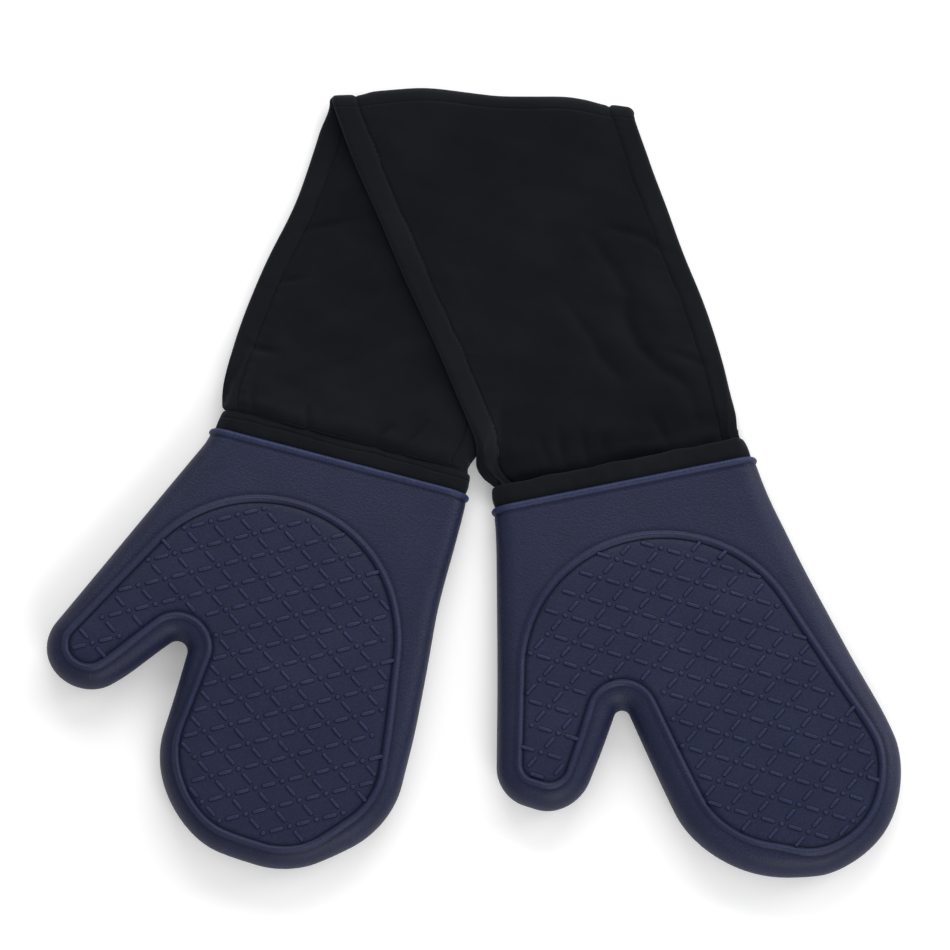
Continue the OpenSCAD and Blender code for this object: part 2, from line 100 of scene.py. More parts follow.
def ramp(tree, place, colours, stops=(0, 1)):
    """A node that runs from one colour to another."""
    made = node(tree, "ShaderNodeValToRGB", place)
    for element, colour, stop in zip(made.color_ramp.elements, colours, stops):
        element.position = stop
        element.color = (*colour, 1)
    return made


def fitted(tree, place, from_range, to_range):
    """A node that carries a value from one range over to another."""
    made = node(tree, "ShaderNodeMapRange", place)
    for name, value in zip(("From Min", "From Max", "To Min", "To Max"), (*from_range, *to_range)):
        made.inputs[name].default_value = value
    return made


table_white = bpy.data.materials.new("table_white")
table_white.use_nodes = True
tree = table_white.node_tree
tree.nodes.clear()
paint = node(tree, "ShaderNodeBsdfDiffuse", (0, 0), Color=(0.92, 0.92, 0.92, 1))
glow = node(tree, "ShaderNodeEmission", (0, -150), Color=(1, 1, 1, 1), Strength=0.16)
both = node(tree, "ShaderNodeAddShader", (200, 0))
seen = node(tree, "ShaderNodeLightPath", (0, 350))
choose = node(tree, "ShaderNodeMixShader", (400, 0))
out = node(tree, "ShaderNodeOutputMaterial", (600, 0))
wire(
    tree,
    (paint, 0, both, 0),
    (glow, 0, both, 1),
    (seen, "Is Camera Ray", choose, 0),
    (paint, 0, choose, 1),
    (both, 0, choose, 2),
    (choose, 0, out, 0),
)
table_mesh.materials.append(table_white)

room = bpy.data.worlds.new("room")
room.use_nodes = True
room.node_tree.nodes["Background"].inputs["Color"].default_value = (1, 1, 1, 1)
room.node_tree.nodes["Background"].inputs["Strength"].default_value = 0.55
bpy.context.scene.world = room


def soft_lamp(name, place, target, size, power):
    """A broad lamp, with its places and size in metres and its power in watts."""
    light = bpy.data.lights.new(name, "AREA")
    light.shape = "RECTANGLE"
    light.size, light.size_y = size
    light.energy = power
    lamp = placed(name, light)
    lamp.location = place
    lamp.rotation_euler = (Vector(target) - Vector(place)).to_track_quat("-Z", "Y").to_euler()


soft_lamp("back_lamp", (0.15, 1.5, 1.1), (0, 0, 0), (1.8, 0.8), 22)
soft_lamp("front_lamp", (0.45, -1.4, 0.95), (0, -0.05, 0), (1.0, 0.7), 11)
soft_lamp("side_lamp", (1.5, 0.45, 0.62), (0, 0.1, 0), (0.7, 0.5), 8)

camera_data = bpy.data.cameras.new("camera")
camera_data.lens = lens_mm
camera_data.sensor_width = sensor_mm
away = view_width * lens_mm / sensor_mm
camera = placed("camera", camera_data)
camera.location = [
    look_at[0] * MM,
    (look_at[1] - away * math.cos(elevation)) * MM,
    (look_at[2] + away * math.sin(elevation)) * MM,
]
camera.rotation_euler = (math.pi / 2 - elevation, 0, 0)
bpy.context.scene.camera = camera
bpy.context.scene.view_settings.view_transform = "Standard"

# ---- Silicone shells ----
# Each mitt is one moulded pocket of navy silicone, 2 mm thick. A bead runs
# round its mouth, and a raised ridge round the gripping zone on both faces.
cuff_half, cuff_h, mitt_h, edge_r, swell_l = 79, 20, 26, 12, 140
shell_t, binding_w, seam_gap = 2, 12.6, 0.15
ridge_w, ridge_h = 2.0, 1.0
bead_w, bead_h = 3.8, 1.3
foot_h = 1.0
# Where the rows of points run beside the ridge, and below the lip
ridge_loops = (-3.3, -2.6, -1.9, -1.2, -0.6, 0, 0.6, 1.2, 1.9, 2.5, 3.2)
bead_rows = (0.5, 1, 1.6, 2.3, 3.1, 4.2)
ridge_rows_end, lip_rows_end = 4.1, 5.2
shell_step, inside_step, ridge_step = 2, 7, 1.6

# Outlines as belts round discs: (along the cuff, towards the fingertips, radius)
outlines = {
    "left": [
        (-cuff_half - 30, 0, -30),
        (-116.5, 149, 24),
        (-64.3, 137, -6.5),
        (1, 187, 60),
        (22, 205, 45),
        (31, 183, 56),
        (cuff_half + 60, 0, -60),
    ],
    "right": [
        (-cuff_half - 60, 0, -60),
        (-87, 160, 24.5),
        (-80, 163, 25.5),
        (-31.7, 140.5, -4.8),
        (51, 190, 65.5),
        (68, 198, 58.5),
        (cuff_half + 150, 0, -150),
    ],
}
ridges = {
    "left": [
        (-18.5, 117.5, 84),
        (-116.5, 149, 13),
        (-64.3, 137, -19.5),
        (1, 187, 50.5),
        (22, 205, 35.5),
        (31, 183, 43.5),
    ],
    "right": [
        (-2, 121, 85.5),
        (-87, 160, 11.5),
        (-80, 163, 12.5),
        (-31.7, 140.5, -19.3),
        (51, 190, 49.5),
        (68, 198, 47),
    ],
}


def belt(discs, inset=0, spacing=2, closed=False):
    """Points round a belt, moved inwards by inset; the number of points doesn't depend on inset."""
    centre = np.array([(u, -v) for u, v, r in discs], float)
    r = np.array([d[2] for d in discs], float)
    n = len(discs)

    def leaving(i, j):
        reach = centre[j] - centre[i]
        return math.atan2(reach[1], reach[0]) - math.pi / 2 + math.asin((r[i] - r[j]) / math.hypot(*reach))

    arcs = []
    for i in range(n):
        start = leaving(i - 1, i) if closed or i else math.pi
        stop = leaving(i, (i + 1) % n) if closed or i < n - 1 else 0
        sweep = (stop - start) % (2 * math.pi) if r[i] > 0 else -((start - stop) % (2 * math.pi))
        steps = max(2, math.ceil(abs(sweep) * max(abs(r[i]), abs(r[i] - edge_r)) / spacing))
        at = np.linspace(0, 1, steps + 1)
        if not closed and i in (0, n - 1):
            close = np.array(bead_rows) / abs(r[i] * sweep)
            at = np.unique(np.concatenate([at, close if i == 0 else 1 - close]))
        angle = start + sweep * at
        arcs.append((angle, centre[i], r[i]))
    points = []
    for i, (angle, c, radius) in enumerate(arcs):
        here = c + (radius - inset) * np.c_[np.cos(angle), np.sin(angle)]
        points.append(here)
        if closed or i < n - 1:
            angle2, c2, radius2 = arcs[(i + 1) % n]
            full = c + radius * np.array([math.cos(angle[-1]), math.sin(angle[-1])])
            full2 = c2 + radius2 * np.array([math.cos(angle2[0]), math.sin(angle2[0])])
            there = c2 + (radius2 - inset) * np.array([math.cos(angle2[0]), math.sin(angle2[0])])
            steps = math.ceil(np.linalg.norm(full2 - full) / spacing)
            at = np.arange(1, steps)[:, None] / max(1, steps)
            points.append(here[-1] + (there - here[-1]) * at)
    return np.concatenate(points)


chunk = 2000  # Points measured at a time


def distance_to(points, line, closed=False):
    """How far each point is from a line of points."""
    a = line if closed else line[:-1]
    d = np.roll(line, -1, 0) - line if closed else np.diff(line, axis=0)
    long = np.maximum((d * d).sum(1), 1e-9)
    best = np.empty(len(points))
    for k in range(0, len(points), chunk):
        p = points[k : k + chunk, None, :] - a[None]
        t = np.clip((p * d).sum(2) / long, 0, 1)
        best[k : k + chunk] = np.sqrt(((p - t[..., None] * d) ** 2).sum(2).min(1))
    return best


def inside(points, loop):
    """Which points lie inside a closed loop."""
    a, b = loop, np.roll(loop, -1, 0)
    found = np.zeros(len(points), int)
    for k in range(0, len(points), chunk):
        x, y = points[k : k + chunk, 0:1], points[k : k + chunk, 1:2]
        spans = (a[:, 1] > y) != (b[:, 1] > y)
        slope = (b[:, 0] - a[:, 0]) / np.where(b[:, 1] == a[:, 1], 1e-9, b[:, 1] - a[:, 1])
        found[k : k + chunk] = (spans & (x < a[:, 0] + (y - a[:, 1]) * slope)).sum(1)
    return found % 2 == 1


def smooth(x):
    """Eases from 0 to 1."""
    c = np.clip(x, 0, 1)
    return c * c * (3 - 2 * c)


def waver(points, scale, seed):
    """A gentle unevenness between about -1 and 1, a value for each point."""
    strength = 1.6
    return np.array([noise.noise(Vector((p[0] / scale, p[1] / scale, seed))) for p in points]) * strength


def pocket_skin(side, depth, spacing, dressed, reach=0):
    """One skin of a mitt, depth below its outside.

    Gives its points, its faces, the loop round its mouth, and how far each point lies inside the ridge.
    """
    discs = outlines[side]

    def outline(inset):
        """The belt, with a straight run at both ends that reaches beyond the silicone lip."""
        run = np.linspace(reach, 0, 4)[:-1] if reach else np.empty(0)
        first = np.c_[np.full(len(run), inset - cuff_half), run]
        return np.concatenate([first, belt(discs, inset, spacing), first[::-1] * (-1, 1)])

    full = outline(0)
    ridge = belt(ridges[side], 0, ridge_step, closed=True)
    turns = [math.radians(a) for a in (-52, -40, -27, -13, 0, 13, 27, 40, 52)]
    rings = [outline(depth + (edge_r - depth) * (1 - math.cos(a))) for a in turns]
    n = len(rings[0])

    def height(points, top, extra):
        e = np.maximum(distance_to(points, full), depth)
        cosine = np.clip(1 - (e - depth) / (edge_r - depth), 0, 1)
        half = (cuff_h + (mitt_h - cuff_h) * np.clip(-points[:, 1] / swell_l, 0, 1)) / 2
        rise = np.sqrt(1 - cosine**2)
        z = depth + (half - depth) * (1 + rise if top else 1 - rise)
        if dressed:
            swell = 1 - np.exp(-np.maximum(e - 8, 0) / 20)
            away_from_mouth = smooth(-points[:, 1] / 60)
            if top:
                z += (1.5 * swell + 0.45 * waver(points, 34, 3 + len(side)) * swell) * away_from_mouth
                z += extra
            else:
                z = np.maximum(z + foot_h * smooth((e - 3) / 5) - extra, 0.1)
        return z

    def relief(points):
        """Height of the ridge, the groove inside it and the bead, and how far inside the ridge a point is."""
        to_ridge = distance_to(points, ridge, closed=True)
        within = np.where(inside(points, ridge), to_ridge, -to_ridge)
        up = ridge_h * np.cos(np.clip(to_ridge / ridge_w, 0, 1) * math.pi / 2) ** 2
        down = 0.25 * smooth((within - 1.2) / 1.6) + 0.55 * np.exp(-(((within - 2.5) / 0.8) ** 2))
        down = down + 0.25 * np.exp(-(((within + 2.6) / 0.9) ** 2))
        return up - down, within

    def bead(y):
        below = 0.25 * np.exp(-(((-y - bead_w - 0.9) / 0.8) ** 2))
        return bead_h * np.sin(np.clip(-y / bead_w, 0, 1) * math.pi) ** 0.6 - below

    points, faces = [], []
    for a, ring in zip(turns, rings):
        half = (cuff_h + (mitt_h - cuff_h) * np.clip(-ring[:, 1] / swell_l, 0, 1)) / 2
        z = depth + (half - depth) * (1 + math.sin(a))
        proud = bead(ring[:, 1]) if dressed else np.zeros(n)
        flat = ring.copy()
        flat[:, 0] += np.sign(flat[:, 0]) * proud * math.cos(a)
        points.append(np.c_[flat, z + proud * math.sin(a)])
    for r in range(len(turns) - 1):
        for i in range(n - 1):
            a, b = r * n + i, (r + 1) * n + i
            faces.append((a, a + 1, b + 1, b))
    count = len(turns) * n

    # The flat of each face is one net of triangles, with rows along the ridge
    border = rings[-1]
    across = max(4, round(2 * abs(border[0][0]) / spacing))
    mouth_x = np.linspace(border[-1][0], border[0][0], across + 1)[1:-1]
    mouth = np.c_[mouth_x, np.full(across - 1, float(reach))]
    loop = np.concatenate([border, mouth])
    loops = [belt(ridges[side], k, ridge_step, closed=True) for k in ridge_loops] if dressed else []
    low, high = border.min(0), border.max(0)
    gx, gy = np.meshgrid(np.arange(low[0], high[0], spacing), np.arange(low[1], reach - 0.1, spacing * 0.95))
    gx = gx + np.where(np.arange(gx.shape[0]) % 2, 0, spacing / 2)[:, None]
    grid = np.c_[gx.ravel(), gy.ravel()]
    if dressed:
        across_lip = np.arange(low[0], high[0], shell_step)
        near = [np.c_[across_lip, np.full(len(across_lip), -y)] for y in bead_rows]
        grid = np.concatenate([grid[grid[:, 1] < -lip_rows_end], *near])
    grid = grid[inside(grid, loop)]
    grid = grid[distance_to(grid, border) > 0.6 * spacing]
    if dressed:
        to_ridge = distance_to(grid, ridge, closed=True)
        within = np.where(inside(grid, ridge), to_ridge, -to_ridge)
        grid = grid[np.abs(within) > ridge_rows_end]
    net = np.concatenate([loop, *loops, grid])
    edges, at = [], len(loop)
    for k in loops:
        edges += [(at + i, at + (i + 1) % len(k)) for i in range(len(k))]
        at += len(k)
    made = geometry.delaunay_2d_cdt([Vector(p) for p in net], edges, [list(range(len(loop)))], 1, 1e-4)
    flat = np.array([tuple(p) for p in made[0]])
    known = {}
    for i, sources in enumerate(made[3]):
        for s in sources:
            if s < len(loop):
                known[i] = s
    up, within = relief(flat) if dressed else (np.zeros(len(flat)), np.full(len(flat), -1.0))
    extra = up + (bead(flat[:, 1]) if dressed else 0)
    mouth_ids = {}
    for top in (False, True):
        ring_start = (len(turns) - 1) * n if top else 0
        z = height(flat, top, extra)
        ids = np.empty(len(flat), int)
        fresh = []
        for i in range(len(flat)):
            s = known.get(i)
            if s is not None and s < n:
                ids[i] = ring_start + s
            else:
                ids[i] = count + len(fresh)
                fresh.append((flat[i][0], flat[i][1], z[i]))
                if s is not None:
                    mouth_ids[top, s - n] = ids[i]
        points.append(np.array(fresh))
        count += len(fresh)
        for f in made[2]:
            p, q, s = (flat[i] for i in f[:3])
            left_turn = (q[0] - p[0]) * (s[1] - p[1]) - (q[1] - p[1]) * (s[0] - p[0]) > 0
            order = [int(ids[i]) for i in f]
            faces.append(tuple(order if left_turn == top else order[::-1]))
    rows = len(turns)
    mouth_loop = (
        [r * n for r in range(rows)]
        + [mouth_ids[True, k] for k in range(across - 2, -1, -1)]
        + [r * n + n - 1 for r in range(rows - 1, -1, -1)]
        + [mouth_ids[False, k] for k in range(across - 1)]
    )
    points = np.concatenate(points)
    zone = np.where(inside(points[:, :2], ridge), 1, -1) * distance_to(points[:, :2], ridge, closed=True)
    return points, faces, mouth_loop, zone


joint = {j["name"]: j for j in frame["joints"]}


def cuff_place(side):
    """Middle of the silicone lip, the direction along the cuff and the direction out of the mouth."""
    hinge = joint[side + "_cuff_flex"]
    along = np.array(hinge["axis"][:2]) * (-1 if side == "left" else 1)
    out_of = np.array([-along[1], along[0]])
    return np.array(hinge["pos_m"][:2]) / MM - out_of * (binding_w + seam_gap), along, out_of


# Where the soft silicone gives, in the frame of the cuff: place, reach, and how far it is pushed
pushes = {
    "left": (
        (-6, -241, 30, -0.9, -3.4), (57, -229, 22, 0.8, -1.0), (-91, -162, 26, 2.1, -2.1),
        (78, -3, 30, 1.0, 0), (80, -72, 30, -1.6, 0), (83, -150, 25, 0.8, 0), (-80, 13, 10, 2.5, 0),
    ),
    "right": (
        (84, -30, 36, 2.3, 0), (123, -170, 28, 1.4, 0.3), (118, -212, 27, -1.4, 0.9), (63, -258, 20, 0, -2.1),
        (10, -235, 34, 1.4, 1.6), (-65, -184, 24, -0.6, 1.4), (-81, -3, 15, -0.9, 0), (82, 14, 10, -2.8, 0),
    ),
}


def slack(side, x, y):
    """The soft mitt lies a little askew: how far each place is moved along the cuff and out of the mouth."""
    if side == "left":
        along, out = -1.2 - 0.9 * smooth(1 + y / 150), 1.8 * smooth((-y - 150) / 90)
    else:
        along, out = -1.7 * smooth(1 + y / 120), 1.3 * smooth((-y - 150) / 90)
    for u, v, reach, aside, up in pushes[side]:
        near = np.exp(-((x - u) ** 2 + (y - v) ** 2) / reach**2)
        along, out = along + aside * near, out + up * near
    return along, out


def on_table(side, points):
    """Points given in the frame of a cuff, moved to where that mitt lies."""
    lip, along, out_of = cuff_place(side)
    aside, up = slack(side, points[:, 0], points[:, 1])
    flat = lip + (points[:, 0] + aside)[:, None] * along + (points[:, 1] + up)[:, None] * out_of
    return np.c_[flat, points[:, 2]]


def piece(name, points, faces, materials, body, replaced=()):
    """A mesh object with its place in its mesh, riding on one body unless it is to be blended."""
    mesh = bpy.data.meshes.new(name)
    mesh.from_pydata((np.asarray(points) * MM).tolist(), [], faces)
    mesh.validate()
    obj = placed(name, mesh)
    for m in materials:
        mesh.materials.append(m)
    mesh.polygons.foreach_set("use_smooth", [True] * len(mesh.polygons))
    if body:
        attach(obj, body)
    if replaced:
        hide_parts(*replaced)
    return obj


def turn_outwards(obj):
    """Turns every face of a closed piece outwards."""
    bm = bmesh.new()
    bm.from_mesh(obj.data)
    bmesh.ops.recalc_face_normals(bm, faces=bm.faces)
    bm.to_mesh(obj.data)
    bm.free()


def principled(name, **values):
    """A material, its tree and its surface, with values of the surface by socket name."""
    made = bpy.data.materials.new(name)
    made.use_nodes = True
    surface = made.node_tree.nodes["Principled BSDF"]
    for key, value in values.items():
        surface.inputs[key.replace("_", " ")].default_value = value
    return made, made.node_tree, surface


navy_silicone, tree, skin = principled("navy_silicone", Roughness=0.48)
place = node(tree, "ShaderNodeTexCoord", (-1400, 0))
zone = node(tree, "ShaderNodeAttribute", (-1400, -300), attribute_name="inside_ridge")
proud = node(tree, "ShaderNodeAttribute", (-1400, -600), attribute_name="raised")
cloudy = node(tree, "ShaderNodeTexNoise", (-1150, 150), Scale=38.0, Detail=3.0)
pebble = node(tree, "ShaderNodeTexNoise", (-1150, -150), Scale=820.0, Detail=2.0, Roughness=0.55)
# The pebbled grain is weaker inside the ridge. Painted highlight lightens the proud edges and
# painted shade darkens the grooves beside them, where the gloss is also taken down
border = fitted(tree, (-1150, -450), (-3.5, 1.0), (1.0, 0.4))
tone = ramp(tree, (-900, 150), ((0.0082, 0.0112, 0.0350), (0.0106, 0.0140, 0.0425)), (0.3, 0.7))
grain = fitted(tree, (-900, -100), (0.3, 0.7), (0.74, 1.26))
painted_light_factor = fitted(tree, (-900, -600), (-1.0, 1.0), (0.05, 1.95))
gloss_dimmed_in_painted_shade = fitted(tree, (-900, -850), (-0.6, 0.0), (0.02, 0.25))
both = node(tree, "ShaderNodeMath", (-650, -200), operation="MULTIPLY")
shaded = node(tree, "ShaderNodeVectorMath", (-450, 100), operation="SCALE")
mixed = node(tree, "ShaderNodeMath", (-650, -400), operation="MULTIPLY")
bump = node(tree, "ShaderNodeBump", (-400, -300), Strength=0.75, Distance=0.0004)
for texture in (cloudy, pebble):
    tree.links.new(place.outputs["Object"], texture.inputs["Vector"])
tree.links.new(zone.outputs["Fac"], border.inputs["Value"])
wire(
    tree,
    (proud, "Fac", painted_light_factor, "Value"),
    (proud, "Fac", gloss_dimmed_in_painted_shade, "Value"),
    (gloss_dimmed_in_painted_shade, "Result", skin, "Specular IOR Level"),
    (cloudy, "Fac", tone, "Fac"),
    (pebble, "Fac", grain, "Value"),
    (grain, "Result", both, 0),
    (painted_light_factor, "Result", both, 1),
    (tone, "Color", shaded, 0),
    (both, 0, shaded, "Scale"),
    (shaded, 0, skin, "Base Color"),
    (pebble, "Fac", mixed, 0),
    (border, "Result", mixed, 1),
    (mixed, 0, bump, "Height"),
    (bump, "Normal", skin, "Normal"),
)


def stitched_loops(points, ids, points2, ids2):
    """Triangles between two loops with different numbers of points."""

    def share(ring):
        step = np.linalg.norm(np.diff(ring, axis=0), axis=1)
        return np.append(np.concatenate([[0], np.cumsum(step)]) / step.sum(), 1.01)

    faces, i, j, a, b = [], 0, 0, share(points), share(points2)
    ring, ring2 = ids + ids[:1], ids2 + ids2[:1]
    while i < len(ring) - 1 or j < len(ring2) - 1:
        if j == len(ring2) - 1 or (i < len(ring) - 1 and a[i + 1] <= b[j + 1]):
            faces.append((ring[i], ring2[j], ring[i + 1]))
            i += 1
        else:
            faces.append((ring[i], ring2[j], ring2[j + 1]))
            j += 1
    return faces


def two_skins(outside, inside_skin):
    """Points, faces and zones of a closed pocket whose two skins meet round the mouth."""
    (outer, faces, loop, zones), (inner, inner_faces, inner_loop, inner_zones) = outside, inside_skin
    n = len(outer)
    faces = faces + [tuple(i + n for i in reversed(f)) for f in inner_faces]
    faces += stitched_loops(outer[loop], loop, inner[inner_loop], [i + n for i in inner_loop])
    return np.concatenate([outer, inner]), faces, np.concatenate([zones, inner_zones])


shells = {}
for side in ("left", "right"):
    points, faces, zones = two_skins(
        pocket_skin(side, 0, shell_step, True), pocket_skin(side, shell_t, inside_step, False)
    )
    shell = piece(
        side + "_silicone",
        on_table(side, points),
        faces,
        [navy_silicone],
        side + "_mitt",
        [side + "_silicone_shell"],
    )
    turn_outwards(shell)
    # Painted highlight on the bead and on the crest of the ridge, and painted shade in a line under the bead
    # and beside the ridge
    from_lip = -points[:, 1]
    flat_face = np.abs(points[:, 2] - 11) > 6
    raised = 1.0 * smooth(from_lip / 0.8) * smooth((bead_w - from_lip) / 0.9)
    raised = raised - 0.35 * np.exp(-(((from_lip - bead_w - 0.9) / 0.8) ** 2))
    raised = raised + flat_face * (
        0.42 * np.exp(-((zones / 1.5) ** 2))
        - 0.60 * np.exp(-(((zones - 2.5) / 0.8) ** 2))
        - 0.25 * np.exp(-(((zones + 2.6) / 0.8) ** 2))
    )
    for attribute, values in (("inside_ridge", zones), ("raised", raised)):
        store = shell.data.attributes.new(attribute, "FLOAT", "POINT")
        store.data.foreach_set("value", values.astype(np.float32))
    shells[side] = shell

# ---- Gripping pattern ----
# Moulded on both faces of each mitt, inside the ridge: a lattice of low raised
# bars, one on each side of every diamond, with a small stud at each crossing.
bar_w, bar_h, long_bar, short_bar = 2.2, 0.8, 8.8, 8.2
stud_l, stud_w = 3.2, 2.5
inside_ridge = 4.4  # No bar starts closer to the ridge
# Heading and step of the two rows of bars, and the place of one crossing
lattices = {
    "left": (-14.4, 16.4, 48.4, 15.4, (22.7, -149.8)),
    "right": (16.8, 16.6, 132.0, 15.5, (12.0, -157.4)),
}


def mould(name, rings):
    """A closed mould through rings of points that have the same number each."""
    bm = bmesh.new()
    rows = [[bm.verts.new(Vector(p) * MM) for p in ring] for ring in rings]
    n = len(rows[0])
    for low, high in zip(rows, rows[1:]):
        for i in range(n):
            bm.faces.new((low[i], low[(i + 1) % n], high[(i + 1) % n], high[i]))
    bm.faces.new(rows[-1])
    bm.faces.new(reversed(rows[0]))
    mesh = bpy.data.meshes.new(name)
    bm.to_mesh(mesh)
    bm.free()
    return placed(name, mesh)


def moulded_bar(name, length, width, height):
    """A low rounded bar, standing on z = 0 along X."""
    levels = ((1.25, -0.6), (1.2, 0.1 * height), (1, 0.5 * height), (0.82, 0.85 * height), (0.5, height))
    # Painted highlight on the bar's top and painted shade at its foot, one value per level
    painted_light_by_level = (-0.6, -0.6, -0.2, 0.4, 0.55)
    reach = length / 2 - width / 2
    rings = []
    for k, z in levels:
        r = width / 2 * k
        ring = []
        for end, start in ((reach, -math.pi / 2), (-reach, math.pi / 2)):
            ring += [
                (end + r * math.cos(start + math.pi * i / 4), r * math.sin(start + math.pi * i / 4), z)
                for i in range(5)
            ]
        rings.append(ring)
    obj = mould(name, rings)
    store = obj.data.attributes.new("raised", "FLOAT", "POINT")
    store.data.foreach_set("value", np.repeat(painted_light_by_level, 10))
    return obj


def node_group(name, inputs):
    """A Geometry Nodes tree with the named inputs, and the key by which a modifier sets each."""
    tree = bpy.data.node_groups.new(name, "GeometryNodeTree")
    tree.interface.new_socket("Geometry", in_out="INPUT", socket_type="NodeSocketGeometry")
    keys = {}
    for label, kind in inputs:
        made = tree.interface.new_socket(label, in_out="INPUT", socket_type="NodeSocket" + kind)
        keys[label] = made.identifier
    tree.interface.new_socket("Geometry", in_out="OUTPUT", socket_type="NodeSocketGeometry")
    return tree, keys


grip_tree, grip_keys = node_group(
    "lattice_of_bars",
    [(name, "Object") for name in ("Surface", "Zone", "Long bar", "Short bar", "Stud")]
    + [(name, "Vector") for name in ("First step", "Second step", "Middle")]
    + [("Side", "Float"), ("Material", "Material")],
)
t, link = grip_tree, grip_tree.links.new
given = node(t, "NodeGroupInput", (-1800, 0))
grid = node(t, "GeometryNodeMeshGrid", (-1600, 300), Size_X=40.0, Size_Y=40.0, Vertices_X=41, Vertices_Y=41)
where = node(t, "GeometryNodeInputPosition", (-1600, 0))
split = node(t, "ShaderNodeSeparateXYZ", (-1400, 0))
link(where.outputs[0], split.inputs[0])


def scaled_vector(vector, factor, place):
    made = node(t, "ShaderNodeVectorMath", place, operation="SCALE")
    link(vector, made.inputs[0])
    if isinstance(factor, float):
        made.inputs["Scale"].default_value = factor
    else:
        link(factor, made.inputs["Scale"])
    return made.outputs[0]


def added(a, b, place):
    made = node(t, "ShaderNodeVectorMath", place, operation="ADD")
    link(a, made.inputs[0])
    link(b, made.inputs[1])
    return made.outputs[0]


along_first = scaled_vector(given.outputs["First step"], split.outputs["X"], (-1200, 100))
along_second = scaled_vector(given.outputs["Second step"], split.outputs["Y"], (-1200, -100))
crossing = added(added(along_first, along_second, (-1000, 0)), given.outputs["Middle"], (-800, 0))
lattice = node(t, "GeometryNodeSetPosition", (-800, 300))
link(grid.outputs["Mesh"], lattice.inputs["Geometry"])
link(crossing, lattice.inputs["Position"])
zone_info = node(t, "GeometryNodeObjectInfo", (-1600, -300), transform_space="ORIGINAL")
surface_info = node(t, "GeometryNodeObjectInfo", (-1600, -500), transform_space="ORIGINAL")
link(given.outputs["Zone"], zone_info.inputs["Object"])
link(given.outputs["Surface"], surface_info.inputs["Object"])
far_side = node(t, "ShaderNodeMath", (-1400, -700), operation="MULTIPLY", _1=0.2)
back_again = node(t, "ShaderNodeMath", (-1400, -850), operation="MULTIPLY", _1=-1.0)
link(given.outputs["Side"], far_side.inputs[0])
link(given.outputs["Side"], back_again.inputs[0])
lifted = node(t, "ShaderNodeCombineXYZ", (-1200, -700))
towards = node(t, "ShaderNodeCombineXYZ", (-1200, -850))
link(far_side.outputs[0], lifted.inputs["Z"])
link(back_again.outputs[0], towards.inputs["Z"])
join = node(t, "GeometryNodeJoinGeometry", (1400, 0))
rows = (
    ("Stud", None, "First step"),
    ("Long bar", "First step", "First step"),
    ("Short bar", "Second step", "Second step"),
)
for k, (source, shift, heading) in enumerate(rows):
    y = 600 - 700 * k
    geometry_out = lattice.outputs["Geometry"]
    if shift:
        moved = node(t, "GeometryNodeSetPosition", (-600, y))
        link(geometry_out, moved.inputs["Geometry"])
        link(scaled_vector(given.outputs[shift], 0.5, (-800, y - 150)), moved.inputs["Offset"])
        geometry_out = moved.outputs["Geometry"]
    origin = added(where.outputs[0], lifted.outputs[0], (-600, y - 300))
    rays = []
    for target in (zone_info, surface_info):
        ray = node(t, "GeometryNodeRaycast", (-350, y - 300 - 180 * len(rays)), Ray_Length=1.0)
        link(target.outputs["Geometry"], ray.inputs["Target Geometry"])
        link(origin, ray.inputs["Source Position"])
        link(towards.outputs[0], ray.inputs["Ray Direction"])
        rays.append(ray)
    missed = node(t, "FunctionNodeBooleanMath", (-100, y - 200), operation="NOT")
    link(rays[0].outputs["Is Hit"], missed.inputs[0])
    kept = node(t, "GeometryNodeDeleteGeometry", (100, y), domain="POINT")
    link(geometry_out, kept.inputs["Geometry"])
    link(missed.outputs[0], kept.inputs["Selection"])
    # The normal is read before the points move onto the surface
    store = node(t, "GeometryNodeStoreNamedAttribute", (300, y), data_type="FLOAT_VECTOR", domain="POINT")
    store.inputs["Name"].default_value = "facing"
    link(kept.outputs["Geometry"], store.inputs["Geometry"])
    link(rays[1].outputs["Hit Normal"], store.inputs["Value"])
    seated = node(t, "GeometryNodeSetPosition", (500, y))
    link(store.outputs["Geometry"], seated.inputs["Geometry"])
    link(rays[1].outputs["Hit Position"], seated.inputs["Position"])
    facing = node(t, "GeometryNodeInputNamedAttribute", (500, y - 250), data_type="FLOAT_VECTOR")
    facing.inputs["Name"].default_value = "facing"
    axes = node(t, "FunctionNodeAxesToRotation", (700, y - 250), primary_axis="Z", secondary_axis="X")
    link(facing.outputs[0], axes.inputs[0])
    link(given.outputs[heading], axes.inputs[1])
    shape = node(t, "GeometryNodeObjectInfo", (700, y - 450), transform_space="ORIGINAL")
    link(given.outputs[source], shape.inputs["Object"])
    copies = node(t, "GeometryNodeInstanceOnPoints", (950, y))
    wire(
        t,
        (seated, "Geometry", copies, "Points"),
        (shape, "Geometry", copies, "Instance"),
        (axes, 0, copies, "Rotation"),
        (copies, "Instances", join, 0),
    )
real = node(t, "GeometryNodeRealizeInstances", (1600, 0))
finish = node(t, "GeometryNodeSetMaterial", (1800, 0))
out = node(t, "NodeGroupOutput", (2000, 0))
wire(
    t,
    (join, 0, real, 0),
    (real, 0, finish, "Geometry"),
    (given, "Material", finish, "Material"),
    (finish, "Geometry", out, 0),
)


def grown(obj, group, values, sockets):
    """Runs a Geometry Nodes tree on obj and returns the result as a plain mesh."""
    modifier = obj.modifiers.new("made", "NODES")
    modifier.node_group = group
    for name, value in values.items():
        modifier[sockets[name]] = value
    bpy.context.view_layer.update()
    graph = bpy.context.evaluated_depsgraph_get()
    mesh = bpy.data.meshes.new_from_object(obj.evaluated_get(graph), depsgraph=graph)
    obj.modifiers.clear()
    return mesh


def forget(*objs):
    """Takes helpers out of the scene."""
    for o in objs:
        bpy.data.objects.remove(o)


def strip_attributes(mesh, *names):
    """Takes away what only the nodes needed."""
    for name in names:
        if name in mesh.attributes:
            mesh.attributes.remove(mesh.attributes[name])


